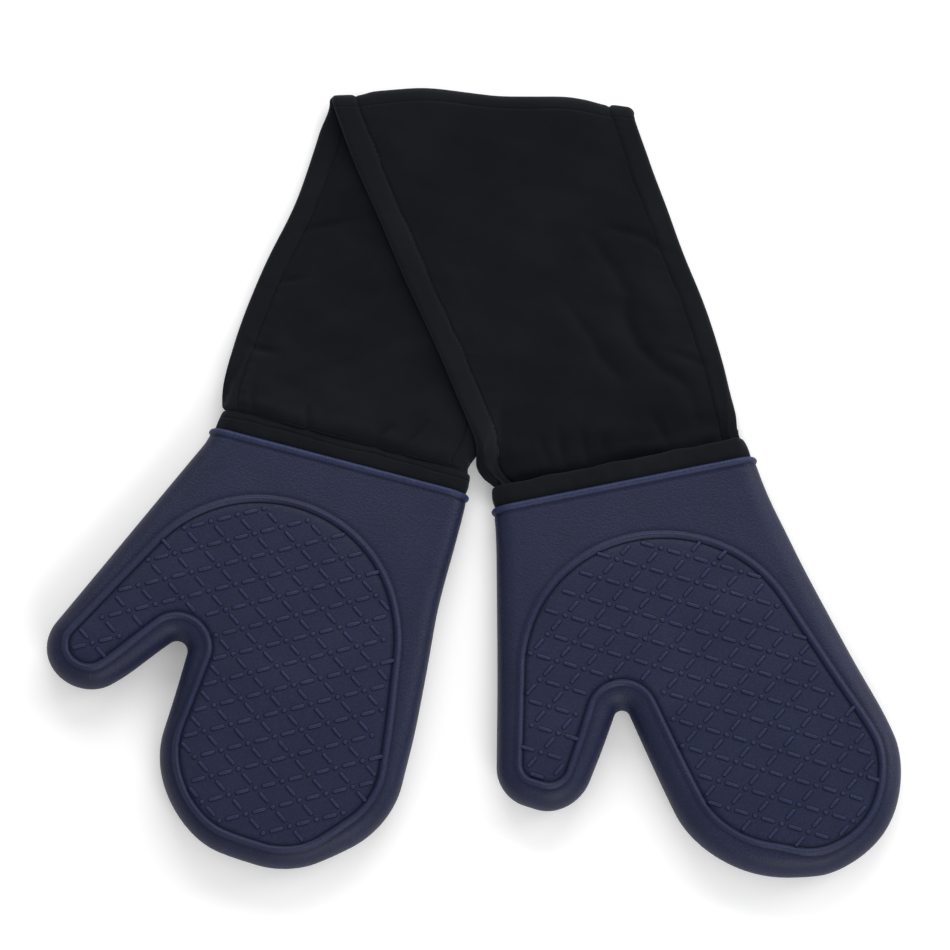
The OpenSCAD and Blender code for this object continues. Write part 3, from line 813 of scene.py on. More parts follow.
moulds = [
    moulded_bar("long_bar_mould", long_bar, bar_w, bar_h),
    moulded_bar("short_bar_mould", short_bar, bar_w, bar_h),
    moulded_bar("stud_mould", stud_l, stud_w, bar_h),
]
for side in ("left", "right"):
    edge = belt(ridges[side], inside_ridge, 3, closed=True)
    edge = on_table(side, np.c_[edge, np.zeros(len(edge))])
    zone_mesh = bpy.data.meshes.new("zone")
    zone_mesh.from_pydata((edge * MM).tolist(), [], [list(range(len(edge)))])
    zone_obj = placed("zone", zone_mesh)
    holder = placed("holder", bpy.data.meshes.new("holder"))
    first, first_step, second, second_step, crossing_at = lattices[side]
    steps = [
        Vector((math.cos(math.radians(a)), -math.sin(math.radians(a)), 0)) * d * MM
        for a, d in ((first, first_step), (second, second_step))
    ]
    middle = on_table(side, np.array([[*crossing_at, 0]]))[0] * MM
    bm = bmesh.new()
    for face in (1.0, -1.0):
        values = {
            "Surface": shells[side],
            "Zone": zone_obj,
            "Long bar": moulds[0],
            "Short bar": moulds[1],
            "Stud": moulds[2],
            "First step": steps[0],
            "Second step": steps[1],
            "Middle": middle,
            "Side": face,
            "Material": navy_silicone,
        }
        bm.from_mesh(grown(holder, grip_tree, values, grip_keys))
    mesh = bpy.data.meshes.new(side + "_grip_pattern")
    bm.to_mesh(mesh)
    bm.free()
    strip_attributes(mesh, "facing")
    mesh.materials.append(navy_silicone)
    store = mesh.attributes.new("inside_ridge", "FLOAT", "POINT")
    store.data.foreach_set("value", [5.0] * len(mesh.vertices))
    mesh.polygons.foreach_set("use_smooth", [True] * len(mesh.polygons))
    pattern = placed(side + "_grip_pattern", mesh)
    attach(pattern, side + "_mitt")
    forget(zone_obj, holder)
forget(*moulds)

# ---- Wadding of the mitts ----
# Soft white polyester wadding, laid between the silicone and the lining. It is
# covered all over and runs out under the cuff binding.
wadding_depths, wadding_reach, wadding_step = (2.15, 3.85), 11.7, 6
white_wadding, tree, skin = principled("white_wadding", Roughness=1.0, Specular_IOR_Level=0.1)
place = node(tree, "ShaderNodeTexCoord", (-800, 0))
fibres = node(tree, "ShaderNodeTexNoise", (-600, 0), Scale=420.0, Detail=4.0)
tone = ramp(tree, (-350, 100), ((0.62, 0.62, 0.59), (0.82, 0.82, 0.79)))
bump = node(tree, "ShaderNodeBump", (-350, -200), Strength=0.5, Distance=0.0005)
wire(
    tree,
    (place, "Object", fibres, "Vector"),
    (fibres, "Fac", tone, "Fac"),
    (fibres, "Fac", bump, "Height"),
    (tone, "Color", skin, "Base Color"),
    (bump, "Normal", skin, "Normal"),
)


def pocket_size(obj, outer):
    """The flat size of a pocket's cloth, twice its width by its length, and the area of its one layer."""
    wide, long = np.ptp(outer[:, 0]) * MM, np.ptp(outer[:, 1]) * MM
    return (2 * wide, long), sum(p.area for p in obj.data.polygons) / 2


for side in ("left", "right"):
    skins = [pocket_skin(side, depth, wadding_step, False, wadding_reach) for depth in wadding_depths]
    points, faces, _ = two_skins(*skins)
    obj = piece(
        side + "_pocket_wadding",
        on_table(side, points),
        faces,
        [white_wadding],
        side + "_mitt",
        [side + "_upper_wadding", side + "_lower_wadding"],
    )
    turn_outwards(obj)
    flat, cloth = pocket_size(obj, skins[0][0])

# ---- Cotton panels of the band ----
# Two panels of black cotton with wadding between them, 5 mm thick in all. The
# band folds over in the middle, the front half lying on top of the back half,
# and each end is sewn to the binding of a cuff.
panel_t, band_half_t, tape_t, edge_w = 1.0, 2.5, 0.6, 12
bound_half_t = band_half_t + tape_t
bend_r, back_z, front_z = 5.5, bound_half_t, 9.7
bend_d = bend_r + bound_half_t + seam_gap
rise_l, settle_l, layer_gap, fold_w = 60, 45, 0.4, 181
cloth_half, full_turn = 85, 6.28
fold_run, cuff_run = 0.27, 0.25
wall_d = (shell_t + 4.8) / 2
flat_half = cuff_half - edge_r
corner_w, corner_h = edge_r - wall_d, cuff_h / 2 - wall_d
corner_arc = math.pi * (corner_w + corner_h) / 4
seam_half = flat_half + corner_arc
seam_y = binding_w + 2 * seam_gap
fold_middle = np.array(joint["band_fold"]["pos_m"]) / MM
fold_z = fold_middle[2]
along_fold = -np.array(joint["band_fold"]["axis"][:2])
down_fold = np.array([along_fold[1], -along_fold[0]])
bend_length = bend_r * math.pi / 2


def half_of_band(name, side, hand, at_fold, at_cuff):
    """What sets the course of a half: its cuff, its length, and how its edges run at both ends."""
    lip, along, out_of = cuff_place(side)
    long = float(np.linalg.norm(lip + out_of * seam_y - fold_middle[:2]))
    return {
        "name": name,
        "side": side,
        "hand": hand,
        "lip": lip,
        "along": along,
        "out_of": out_of,
        "long": long,
        "end": long - bend_d + bend_length,
        "at_fold": at_fold,
        "at_cuff": at_cuff,
    }


halves = {
    "back": half_of_band("back", "left", 1, (-0.17, -0.42), (-0.40, 0.03)),
    "front": half_of_band("front", "right", -1, (0.42, 0.34), (-0.18, -0.03)),
}


def in_cuff(half, p):
    """A place on the table as (along, out of the mouth) in the frame of the half's cuff."""
    q = p - half["lip"]
    return q @ half["along"], q @ half["out_of"]


def from_cuff(half, x, y):
    """The other way round: a place in the frame of the cuff as one on the table."""
    along, out = np.asarray(x)[..., None] * half["along"], np.asarray(y)[..., None] * half["out_of"]
    return half["lip"] + along + out


def corner_angle(s):
    """How far round the cuff's rounded side a place of the seam lies."""
    return np.maximum(0, (np.abs(s) * seam_half - flat_half) / corner_arc * math.pi / 2)


def seam_x(s):
    """Where a place of the seam lies along the cuff."""
    return np.sign(s) * (np.minimum(np.abs(s) * seam_half, flat_half) + corner_w * np.sin(corner_angle(s)))


def wall_z(hand, x):
    """The height of the cuff's wall, the upper one for hand 1 and the lower one for -1."""
    k = np.clip((np.abs(x) - flat_half) / corner_w, 0, 1)
    return cuff_h / 2 + hand * corner_h * np.sqrt(1 - k * k)


def back_height(p):
    """The back half lies on the table and rises to the left cuff's upper wall."""
    x, y = in_cuff(halves["back"], p)
    return back_z + (wall_z(1, x) - back_z) * smooth(1 - (y - seam_y) / rise_l)


def clear_height(p):
    """The lowest that the front half may lie over the back half."""
    x, y = in_cuff(halves["back"], p)
    inwards = np.maximum(0, np.abs(x) - 2 * bound_half_t)
    under = back_z + (wall_z(1, inwards) - back_z) * smooth(1 - (y - seam_y) / rise_l)
    beyond = np.maximum(0, inwards - flat_half - corner_w)
    return np.where(y < seam_y + rise_l, under + 2 * bound_half_t + layer_gap - beyond, 0)


def front_height(p):
    """The front half comes down from the fold, lies over the back half and falls to the right cuff."""
    x, y = in_cuff(halves["front"], p)
    behind = (p - fold_middle[:2]) @ down_fold
    lying = front_z + (fold_z + bend_r - front_z) * smooth(1 - (behind - bend_d) / settle_l)
    falling = smooth(1 - (y - seam_y) / rise_l)
    z = lying + (wall_z(-1, x) - lying) * falling
    clear = clear_height(p)
    # The cloth eases over the thickness of the half that lies below it
    k = np.clip(0.5 + (clear - z) / 6, 0, 1)
    return np.maximum(z, clear) + 1.5 * k * (1 - k)


def edge_point(half, i, t):
    """Places along the left (0) or right (1) edge of a half, t going from the bend (0) to the cuff (1)."""
    s = 2 * i - 1
    run = down_fold + half["at_fold"][i] * along_fold
    p0 = fold_middle[:2] + along_fold * s * fold_w / 2 + bend_d * run
    p1 = p0 + fold_run * half["long"] * run
    p3 = from_cuff(half, seam_x(s), seam_y)
    p2 = p3 + cuff_run * half["long"] * (half["at_cuff"][i] * half["along"] + half["out_of"])
    t = np.asarray(t)[..., None]
    u = 1 - t
    return u**3 * p0 + 3 * u * u * t * p1 + 3 * u * t * t * p2 + t**3 * p3


def fold_slant(half, s):
    """How far askew the cloth leaves the fold."""
    return (half["at_fold"][0] * (1 - s) + half["at_fold"][1] * (1 + s)) / 2


def band_point(half, s, w, off):
    """Point of a half: s across from -1 to 1, w the way from the fold line, off towards its outer face.

    The way runs from 0 to bend_length round the bend, then 1 mm a unit.
    """
    s, w, off = np.broadcast_arrays(np.asarray(s, float), np.asarray(w, float), np.asarray(off, float))
    hand = half["hand"]
    slant = fold_slant(half, s)
    a = np.clip(w / bend_length, 0, 1) * math.pi / 2
    r = bend_r + off
    run = down_fold + slant[..., None] * along_fold
    across, beyond = (s * fold_w / 2)[..., None], (bend_d - r * np.cos(a))[..., None]
    bent = fold_middle[:2] + along_fold * across + beyond * run
    bent_z = fold_z - hand * r * np.sin(a)
    t = np.clip((w - bend_length) / (half["long"] - bend_d), 0, 1)
    straight = (edge_point(half, 0, t) * (1 - s)[..., None] + edge_point(half, 1, t) * (1 + s)[..., None]) / 2
    near = smooth(1 - (1 - t) * half["long"] / rise_l)
    x, y = in_cuff(half, straight)
    x = x + near * (seam_x(s) - seam_x(1.0) * s)
    p = from_cuff(half, x, y)
    z = back_height(p) if hand > 0 else front_height(p)
    b = corner_angle(s) * near
    flat = from_cuff(half, x - off * np.sin(b) * np.sign(s), y)
    flat_z = z - off * hand * np.cos(b)
    bent, flat = (np.concatenate([xy, z[..., None]], -1) for xy, z in ((bent, bent_z), (flat, flat_z)))
    return np.where((w < bend_length)[..., None], bent, flat)


def furrow(s, w, stops, width):
    """1 along a line of places (s, w), falling to 0 at width beside it and at its ends."""
    line = np.array(stops, float) * (cloth_half, 1)
    p = np.stack([s * cloth_half, w], -1)
    step = np.diff(line, axis=0)
    long = np.linalg.norm(step, axis=1)
    way = np.concatenate([[0], np.cumsum(long)]) / long.sum()
    near, at = np.full(s.shape, 1e9), np.zeros(s.shape)
    for i, d in enumerate(step):
        t = np.clip(((p - line[i]) @ d) / (d @ d), 0, 1)
        off = np.linalg.norm(p - line[i] - t[..., None] * d, axis=-1)
        closer = off < near
        near = np.where(closer, off, near)
        at = np.where(closer, way[i] + (way[i + 1] - way[i]) * t, at)
    return np.exp(-((near / width) ** 2)) * np.sin(np.clip(0.14 + 0.72 * at, 0, 1) * math.pi)


# Folds and hollows in the upper face of each half: height, width and course
furrows = {
    "front": (
        (-1.9, 3.4, ((0.88, 98), (0.78, 88), (0.58, 82), (0.41, 86))),
        (
            -2.6,
            4.6,
            (
                (0.41, 88), (0.48, 108), (0.50, 124), (0.43, 138),
                (0.43, 158), (0.52, 174), (0.69, 190), (0.69, 212),
            ),
        ),
        (-1.7, 3.0, ((0.86, 177), (0.64, 165))),
        (-2.1, 4.2, ((0.05, 130), (0.12, 148), (0.14, 164), (0.22, 180))),
        (1.2, 6.0, ((0.25, 135), (0.29, 160), (0.38, 184))),
        (1.1, 8.0, ((0.64, 102), (0.67, 130), (0.66, 160))),
        (-0.8, 9.0, ((-0.60, 206), (-0.20, 212), (0.10, 214))),
        (-1.5, 2.4, ((-0.52, 206), (-0.50, 226))),
        (-1.7, 2.6, ((-0.36, 204), (-0.41, 228))),
        (-1.5, 2.4, ((-0.19, 210), (-0.23, 228))),
        (-1.2, 2.2, ((-0.06, 212), (-0.08, 228))),
        (-1.4, 3.0, ((0.36, 204), (0.41, 228))),
        (-0.9, 9.0, ((0.55, 214), (0.85, 218))),
    ),
    "back": (
        (-1.8, 2.6, ((-0.88, 91), (-0.58, 81))),
        (-1.6, 2.2, ((-0.84, 126), (-0.67, 120))),
        (-2.2, 3.0, ((-0.89, 172), (-0.66, 173))),
        (-1.6, 1.8, ((-0.76, 196), (-0.73, 222))),
        (-2.6, 1.9, ((-0.31, 206), (-0.28, 224))),
        (-2.6, 1.9, ((0.33, 204), (0.27, 213), (0.24, 224))),
        (-2.6, 2.1, ((0.57, 196), (0.49, 210), (0.42, 224))),
        (0.6, 9.0, ((-0.60, 140), (-0.10, 155))),
    ),
}
# Loose cotton lies in broad soft waves: length, slant across the band and height
waves = ((61, 0.3, 0.55), (37, -0.5, 0.34), (23, 0.8, 0.20), (15, -0.2, 0.09))
ripple_phase = np.random.default_rng(7).uniform(0, full_turn, (2, 2, 4))[:, 0]
stitch_row = 11.3


def stitch_in(half, s):
    """How far in from the edge the tape is stitched down: it's widest along the left of the front half."""
    return stitch_row + 1.7 * (half["name"] == "front") * (np.asarray(s) < 0)


def wobble(s, w):
    """The stitch line isn't quite straight."""
    return 0.34 * np.sin(w / 8.7 + 2.3 * np.sign(s)) + 0.22 * np.sin(w / 3.7 + np.sign(s))


def dressing(half, s, w, face):
    """How far a face of the band stands proud of its plain shape, face being 1 outside and -1 inside."""
    name, upper = half["name"], face * half["hand"] < 0
    w, s = np.broadcast_arrays(np.asarray(w, float), np.asarray(s, float))
    left = half["end"] - w
    wave = 0.0
    for (period, slant, high), phase in zip(waves, ripple_phase[0 if name == "back" else 1]):
        wave = wave + np.sin((w + slant * s * cloth_half) / period * full_turn + phase) * high
    proud = wave * (1.0 if upper else 0.5)
    # The panels swell over the wadding and are held down where the edge is bound
    from_edge = (1 - np.abs(s)) * seam_half
    inside_edge = from_edge - edge_w
    proud = proud * smooth(inside_edge / 16) + 0.9 * smooth(inside_edge / 12) * smooth(left / 14)
    # Small gathers run from the stitch line into the cloth
    gather = np.sin(w / 9.7 * full_turn + 1.9 * np.sin(w / 23 + 3 * s)) * (0.5 + 0.5 * np.sin(w / 29 + 5 * s))
    beyond = from_edge - stitch_in(half, s)
    proud = proud + 0.3 * gather * np.exp(-(((beyond - 3.2) / 3.5) ** 2)) * (beyond > 0)
    proud = proud - 0.8 * np.exp(-(((beyond - wobble(s, w)) / 0.85) ** 2))
    if upper:
        for height, width, stops in furrows[name]:
            proud = proud + height * furrow(s, w, stops, width)
    # It bulges just before the seam, then turns down into it
    bulge = 2.0 if upper else 0.8
    proud = proud + bulge * np.exp(-(((left - 7) / 6.5) ** 2)) * smooth(inside_edge / 10 + 0.5)
    proud = proud - 1.0 * smooth(1 - left / 2.2)
    return proud


def fold_bulge(s, w):
    """The fold stands out a little unevenly along its line."""
    across = s * fold_w / 2
    reach = 6.8 * np.exp(-(((across + 31) / 36) ** 2)) + 1.8 * np.exp(-(((across - 52) / 18) ** 2))
    reach = reach * smooth((1.02 - np.abs(s)) / 0.3) + 3.2 + 3.4 * np.exp(-(((across - 38) / 38) ** 2))
    return reach * smooth(1 - np.asarray(w) / 42)


def dressed_point(half, s, w, off, proud=0.0):
    """The same point of the half as it really lies: with the fold's roll, and drawn in at the cuff."""
    p = band_point(half, s, w, off + proud)
    s, w = np.broadcast_arrays(np.asarray(s, float), np.asarray(w, float))
    slant = fold_slant(half, s) * np.clip(w / bend_length, 0, 1)
    p[..., :2] -= fold_bulge(s, w)[..., None] * (down_fold + slant[..., None] * along_fold)
    side = half["side"]
    left = half["end"] - w
    aside = slack(side, s * cuff_half, 0 * s)[0] * smooth(1 - left / 80)
    if side == "right":
        # Towards the right cuff the front half draws in a little
        near = 4.0 * np.exp(-(((half["long"] - w - 12) / 42) ** 2)) + 2.4 * np.exp(-(((left - 5) / 11) ** 2))
        aside = aside + (1.3 * smooth((w - 4) / 30) - near) * smooth((s - 0.2) / 0.8)
        # and its other corner flares before it is gathered into the cuff
        flare = 3.4 * np.exp(-(((left - 17) / 9) ** 2)) - 2.8 * smooth(1 - left / 9)
        aside = aside - flare * smooth((-s - 0.45) / 0.5)
    else:
        swing = 0.5 + 1.4 * np.cos((np.minimum(w, 95) - 10) / 170 * 2 * math.pi)
        aside = aside - swing * smooth((-s - 0.2) / 0.8) * smooth((w - 4) / 20)
        aside = aside - 3.4 * np.exp(-(((left - 4) / 9) ** 2)) * smooth((s - 0.5) / 0.5)
        aside = aside + 1.2 * smooth((w - 140) / 40) * smooth((-s - 0.4) / 0.6)
    p[..., :2] += aside[..., None] * half["along"]
    # Nothing sinks into the table: what would is flattened against it
    z, low = p[..., 2], 0.6
    p[..., 2] = np.where(z < low, low * np.exp((np.minimum(z, low) - low) / low), z)
    return p


black_cotton, tree, skin = principled(
    "black_cotton",
    Roughness=0.95,
    Specular_IOR_Level=0.12,
    Sheen_Weight=0.06,
    Sheen_Roughness=0.5,
    Sheen_Tint=(0.75, 0.8, 1.0, 1),
)
place = node(tree, "ShaderNodeUVMap", (-1400, 0), uv_map="cloth")
turned = node(tree, "ShaderNodeMapping", (-1200, 0))
turned.inputs["Rotation"].default_value = (0, 0, math.radians(45))
warp, weft = (
    node(tree, "ShaderNodeTexWave", (-950, y), Scale=520.0, Distortion=0.6, Detail=1.0, bands_direction=way)
    for y, way in ((200, "X"), (-100, "Y"))
)
weave = node(tree, "ShaderNodeMath", (-700, 50), operation="MAXIMUM")
slub = node(tree, "ShaderNodeTexNoise", (-950, -400), Scale=19.0, Detail=6.0, Roughness=0.62)
lint = node(tree, "ShaderNodeTexNoise", (-950, -650), Scale=900.0, Detail=2.0)
tone = ramp(tree, (-650, -350), ((0.0028, 0.0033, 0.0046), (0.0058, 0.0067, 0.0094)), (0.3, 0.72))
threads = node(tree, "ShaderNodeMix", (-400, -100), data_type="RGBA", blend_type="MULTIPLY")
threads.inputs[0].default_value = 0.22
height = node(tree, "ShaderNodeMath", (-500, -600), operation="ADD")
bump = node(tree, "ShaderNodeBump", (-250, -450), Strength=0.45, Distance=0.0002)
for texture in (warp, weft):
    tree.links.new(turned.outputs[0], texture.inputs["Vector"])
tree.links.new(place.outputs["UV"], turned.inputs["Vector"])
wire(
    tree,
    (place, "UV", slub, "Vector"),
    (place, "UV", lint, "Vector"),
    (warp, "Fac", weave, 0),
    (weft, "Fac", weave, 1),
    (slub, "Fac", tone, "Fac"),
    (tone, "Color", threads, 6),
    (weave, 0, threads, 7),
    (threads, 2, skin, "Base Color"),
    (weave, 0, height, 0),
    (lint, "Fac", height, 1),
    (height, 0, bump, "Height"),
    (bump, "Normal", skin, "Normal"),
)

# The tapes are a copy of the cotton painted a little lighter: a painted highlight where the bound edges catch
# the light
tape_cotton = black_cotton.copy()
tape_cotton.name = "tape_cotton"
for shades in (n.color_ramp for n in tape_cotton.node_tree.nodes if n.type == "VALTORGB"):
    for stop, colour in zip(shades.elements, ((0.0038, 0.0044, 0.0061, 1), (0.0073, 0.0084, 0.0112, 1))):
        stop.color = colour


def lay_out(obj, places):
    """Gives a piece a UV map in metres along its cloth, one (u, v) in millimetres for each point."""
    layer = obj.data.uv_layers.new(name="cloth")
    corner = np.empty(len(obj.data.loops), int)
    obj.data.loops.foreach_get("vertex_index", corner)
    layer.data.foreach_set("uv", (np.asarray(places)[corner] * MM).astype(np.float32).ravel())


def slab(name, grids, places, body, replaced, material=None):
    """A closed piece of cloth between two grids of points with the same rows and columns."""
    rows, cols = grids[0].shape[:2]
    n = rows * cols
    points = np.concatenate([g.reshape(-1, 3) for g in grids])
    faces = []
    for r in range(rows - 1):
        for c in range(cols - 1):
            a = r * cols + c
            faces.append((a, a + 1, a + cols + 1, a + cols))
            faces.append((a + n, a + cols + n, a + cols + 1 + n, a + 1 + n))
    rim = (
        [(c, c + 1) for c in range(cols - 1)]
        + [((r + 1) * cols - 1, (r + 2) * cols - 1) for r in range(rows - 1)]
        + [(n - cols + c + 1, n - cols + c) for c in range(cols - 2, -1, -1)]
        + [((r + 1) * cols, r * cols) for r in range(rows - 2, -1, -1)]
    )
    faces += [(b, a, a + n, b + n) for a, b in rim]
    obj = piece(name, points, faces, [material or black_cotton], body, replaced)
    turn_outwards(obj)
    lay_out(obj, np.concatenate([places.reshape(-1, 2)] * 2))
    return obj


def back_then_front(w, parts):
    """One course over the fold, from the back half (w below 0) to the front half."""
    return np.where(w[..., None] < 0, *parts)


panel_edge = 0.984
columns = np.linspace(-1, 1, 89)
columns = np.sign(columns) * (1 - (1 - np.abs(columns)) ** 1.15)
# Closer together beside the stitch line along each edge
by_stitches = 1 - (stitch_row + np.linspace(-2.1, 4.1, 15)) / seam_half
columns = columns[np.abs(np.abs(columns) - by_stitches.mean()) > 3.4 / seam_half]
columns = np.sort(np.concatenate([columns, by_stitches, -by_stitches]))
for name, half in halves.items():
    near_cuff = half["end"] - 30
    rows = np.linspace(bend_length, near_cuff, 118), near_cuff + np.linspace(0, 1, 36)[1:] ** 0.9 * 29.6
    s, w = np.meshgrid(np.clip(columns, -panel_edge, panel_edge), np.concatenate(rows))
    places = np.stack([s * cloth_half, w], -1)
    for face, part in ((1, "outer"), (-1, "inner")):
        skin_off = face * band_half_t
        show = dressing(half, s, w, face)
        flat = dressed_point(half, s, w, skin_off, face * show)
        back = dressed_point(half, s, w, skin_off - face * panel_t, face * np.minimum(0, show + 0.4))
        obj = slab(f"{name}_{part}_cotton", (flat, back), places, f"{name}_half", [f"{name}_{part}_panel"])

# Round the bend both panels run on from one half to the other
turns = np.linspace(-bend_length, bend_length, 25)
s, w = np.meshgrid(np.clip(columns, -panel_edge, panel_edge), turns)
places = np.stack([s * cloth_half, w], -1)
for face, part in ((1, "outer"), (-1, "inner")):
    mix = smooth((w + bend_length) / (2 * bend_length))
    proud = face * sum(
        k * dressing(halves[name], s, np.abs(w), face) for name, k in (("back", 1 - mix), ("front", mix))
    )
    layers = []
    for off, rise in ((face * band_half_t, proud), (face * (band_half_t - panel_t), 0.0)):
        parts = [dressed_point(halves[name], s, np.abs(w), off, rise) for name in ("back", "front")]
        layers.append(back_then_front(w, parts))
    obj = slab(f"fold_{part}_cotton", layers, places, None, [])
    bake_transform(obj)

# ---- Wadding of the band ----
# One layer of white polyester wadding, 3 mm thick, between the two panels. It
# is caught in the bindings along both edges, and a thinner piece fills the fold.
half_wadding, core_edge, fold_fill = 1.5, 0.972, 0.45
cores = np.sign(columns[::2]) * np.minimum(np.abs(columns[::2]), core_edge)


def core_faces(half, s, w, fill=1.0):
    """The two faces of the wadding, which the tucks of the panels press thinner."""
    faces = []
    at_seam = smooth(1 - (half["end"] - w) / 26)
    s = np.clip(s, -core_edge + 0.07 * at_seam, core_edge - 0.07 * at_seam)
    for face in (1, -1):
        nearby = np.min([dressing(half, s, w + k, face) for k in (-3, -1.5, 0, 1.5, 3)], axis=0)
        pressed = np.minimum(0, nearby + 0.3) - 0.7 * at_seam
        faces.append(dressed_point(half, s, w, face * (half_wadding - 0.05) * fill, face * pressed * fill))
    return faces


for name, half in halves.items():
    rows = np.linspace(bend_length + 6, half["end"] - 30, 40), half["end"] - np.linspace(29, 3.6, 20)
    s, w = np.meshgrid(cores, np.concatenate(rows))
    skins, places = core_faces(half, s, w), np.stack([s * cloth_half, w], -1)
    obj = slab(f"{name}_core", skins, places, f"{name}_half", [f"{name}_wadding"], white_wadding)
s, w = np.meshgrid(cores, np.linspace(1.5 - bend_length, bend_length - 1.5, 17))
parts = [core_faces(halves[n], s, np.abs(w), fold_fill) for n in ("back", "front")]
skins = [back_then_front(w, faces) for faces in zip(*parts)]
obj = slab("fold_core", skins, np.stack([s * cloth_half, w], -1), None, [], white_wadding)
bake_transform(obj)

# ---- Edge bindings of the band ----
# A strip of black cotton tape is folded over each long edge of the band, 12 mm
# wide on both faces, and held by one row of stitches near its inner edge.
# The tape's section: millimetres in from the edge, height over the panel
tape_over = (
    (12.6, -0.6), (12.0, -0.28), (11.5, -0.05), (11.1, 0.12), (10.6, 0.34), (9.9, 0.54), (9.0, 0.68),
    (7.6, 0.76), (6.0, 0.76), (4.6, 0.72), (3.4, 0.66), (2.2, 0.6),
)
tape_round = [(2.2 - 2.9 * math.sin(a), math.cos(a)) for a in np.radians((15, 30, 45, 60, 75, 90))]
tape_under = ((10.5, -0.45), (6, -0.45), (2.2, -0.45))


def tape_section():
    """Rows of (millimetres in from the edge, which face, height over the panel at that place)."""
    rim = [(u, 1, h) for u, h in tape_over] + [(u, c, 0.6) for u, c in tape_round]
    rim += [(u, -c, 0.6) for u, c in tape_round[-2::-1]] + [(u, -1, h) for u, h in tape_over[::-1]]
    return rim + [(u, -1, h) for u, h in tape_under] + [(u, 1, h) for u, h in tape_under[::-1]]


section = np.array(tape_section())


def tape_pucker(half, end, w, u):
    """The tape is drawn up a little by its stitches, in short slanting wrinkles."""
    k = {"back": 1.3, "front": 4.1}[half["name"]] * end
    run = w + 0.5 * u + 2.2 * np.sin(w / 19 + k)
    wrinkle = np.sin(run / 6.4 * full_turn + k) * (0.6 + 0.4 * np.sin(w / 27 + 2 * k))
    return 0.10 * wrinkle * np.exp(-(((u - 7.5) / 3.2) ** 2))


def tape_points(half, end, w, section):
    """Points of the tape on the left (end -1) or right edge, a row for each w."""
    u, face, h = (section[None, :, k] for k in range(3))
    w = np.asarray(w, float)[:, None]
    side = np.where(face > 0, 1.0, -1.0)
    u = u * stitch_in(half, end) / stitch_row
    s = end * (1 - u / seam_half)
    proud = dressing(half, s, w, 1) * (0.5 + face / 2) - dressing(half, s, w, -1) * (0.5 - face / 2)
    height = np.where(np.abs(face) == 1, side * (band_half_t + h), face * (band_half_t + h))
    puckered = side * tape_pucker(half, end, w, u) * (h > 0) * np.abs(face)
    waver_out = 0.28 * np.sin(w / 11 + 2 * end) * np.clip(1 - u / 6, 0, 1)
    return dressed_point(half, s + end * waver_out / seam_half, w, height, proud + puckered)


def closed_strip(name, rings, places, body, replaced):
    """A closed piece between rings of points, each ring closed on itself, with its two ends capped."""
    rows, cols = rings.shape[:2]
    faces = []
    for r in range(rows - 1):
        for c in range(cols):
            a, b = r * cols + c, r * cols + (c + 1) % cols
            faces.append((a, b, b + cols, a + cols))
    faces += [tuple(range(cols)), tuple(range((rows - 1) * cols, rows * cols))[::-1]]
    obj = piece(name, rings.reshape(-1, 3), faces, [tape_cotton], body, replaced)
    turn_outwards(obj)
    lay_out(obj, places.reshape(-1, 2))
    return obj


def tape_places(w, cols):
    """The cloth of a tape: across it, and along it."""
    across = np.linspace(0, 54, cols)
    return np.stack(np.broadcast_arrays(across[None, :], np.asarray(w)[:, None]), -1)


for name, half in halves.items():
    rows = np.append(np.arange(bend_length, half["end"] - 1.2, 1.1), half["end"] - 0.4)
    for end, hand_name in ((-1, "left"), (1, "right")):
        rings, places = tape_points(half, end, rows, section), tape_places(rows, len(section))
        edge = f"{name}_{hand_name}_edge"
        obj = closed_strip(f"{edge}_tape", rings, places, f"{name}_half", [f"{edge}_binding"])
fold_rows = np.linspace(-bend_length, bend_length, 25)
for end, hand_name in ((-1, "left"), (1, "right")):
    parts = [tape_points(halves[n], end, np.abs(fold_rows), section) for n in ("back", "front")]
    rings = back_then_front(fold_rows[:, None], parts)
    obj = closed_strip(f"fold_{hand_name}_edge_tape", rings, tape_places(fold_rows, len(section)), None, [])
    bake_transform(obj)

# ---- Cuff bindings ----
# A black cotton tape is folded over the raw edge of each lining, past the
# silicone's bead, so that a soft rim 12.6 mm wide runs round the whole mouth.
# Inside it the turned-in end of the band is sewn on.
# The tape's section: millimetres out from the lip, depth below the outside of the cuff
rim_section = np.array(
    [(0.05, 2.4), (0.05, 1.5), (0.9, 1.42), (2.4, 1.25), (4.5, 1.05), (6.4, 0.98), (7.5, 0.98)]
    + [(8.0, 1.0), (8.4, 1.0), (8.8, 1.0), (9.4, 1.0), (10.4, 1.08)]
    + [(11.3, 1.25), (12.0, 1.6), (12.45, 2.2), (12.6, 3.0), (12.6, 3.8), (12.45, 4.5), (12.0, 5.1)]
    + [(11.2, 5.5), (9.6, 5.7), (7, 5.8), (4, 5.75), (1.6, 5.65), (0.4, 5.5), (0.05, 5.1)]
    + [(0.3, 4.72), (4, 4.72), (8, 4.72), (11.9, 4.72), (12.1, 3.3)]
    + [(11.9, 2.1), (8, 2.1), (4, 2.1), (0.6, 2.1)]
)
cuff_tape_size, allowance_size = 29, 13
curve_angles = np.radians(np.linspace(-90, 90, 19))


def round_the_cuff(depth):
    """Points once round a cuff's mouth at a depth below the outside, as (along, height)."""
    inset = depth + (edge_r - depth) * (1 - np.cos(curve_angles))
    z = depth + (cuff_h / 2 - depth) * (1 + np.sin(curve_angles))
    x = cuff_half - inset
    flat = np.linspace(x[-1], -x[-1], 73)[1:-1]
    along = np.concatenate([x, flat, -x[::-1], -flat])
    high = np.concatenate([z, np.full(len(flat), z[-1]), z[::-1], np.full(len(flat), z[0])])
    return along, high


# The way round in millimetres, measured on the outside
base_x, base_z = round_the_cuff(0.0)
step = np.hypot(np.diff(base_x, append=base_x[0]), np.diff(base_z, append=base_z[0]))
way = np.concatenate([[0], np.cumsum(step)[:-1]])
whole_way = float(step.sum())


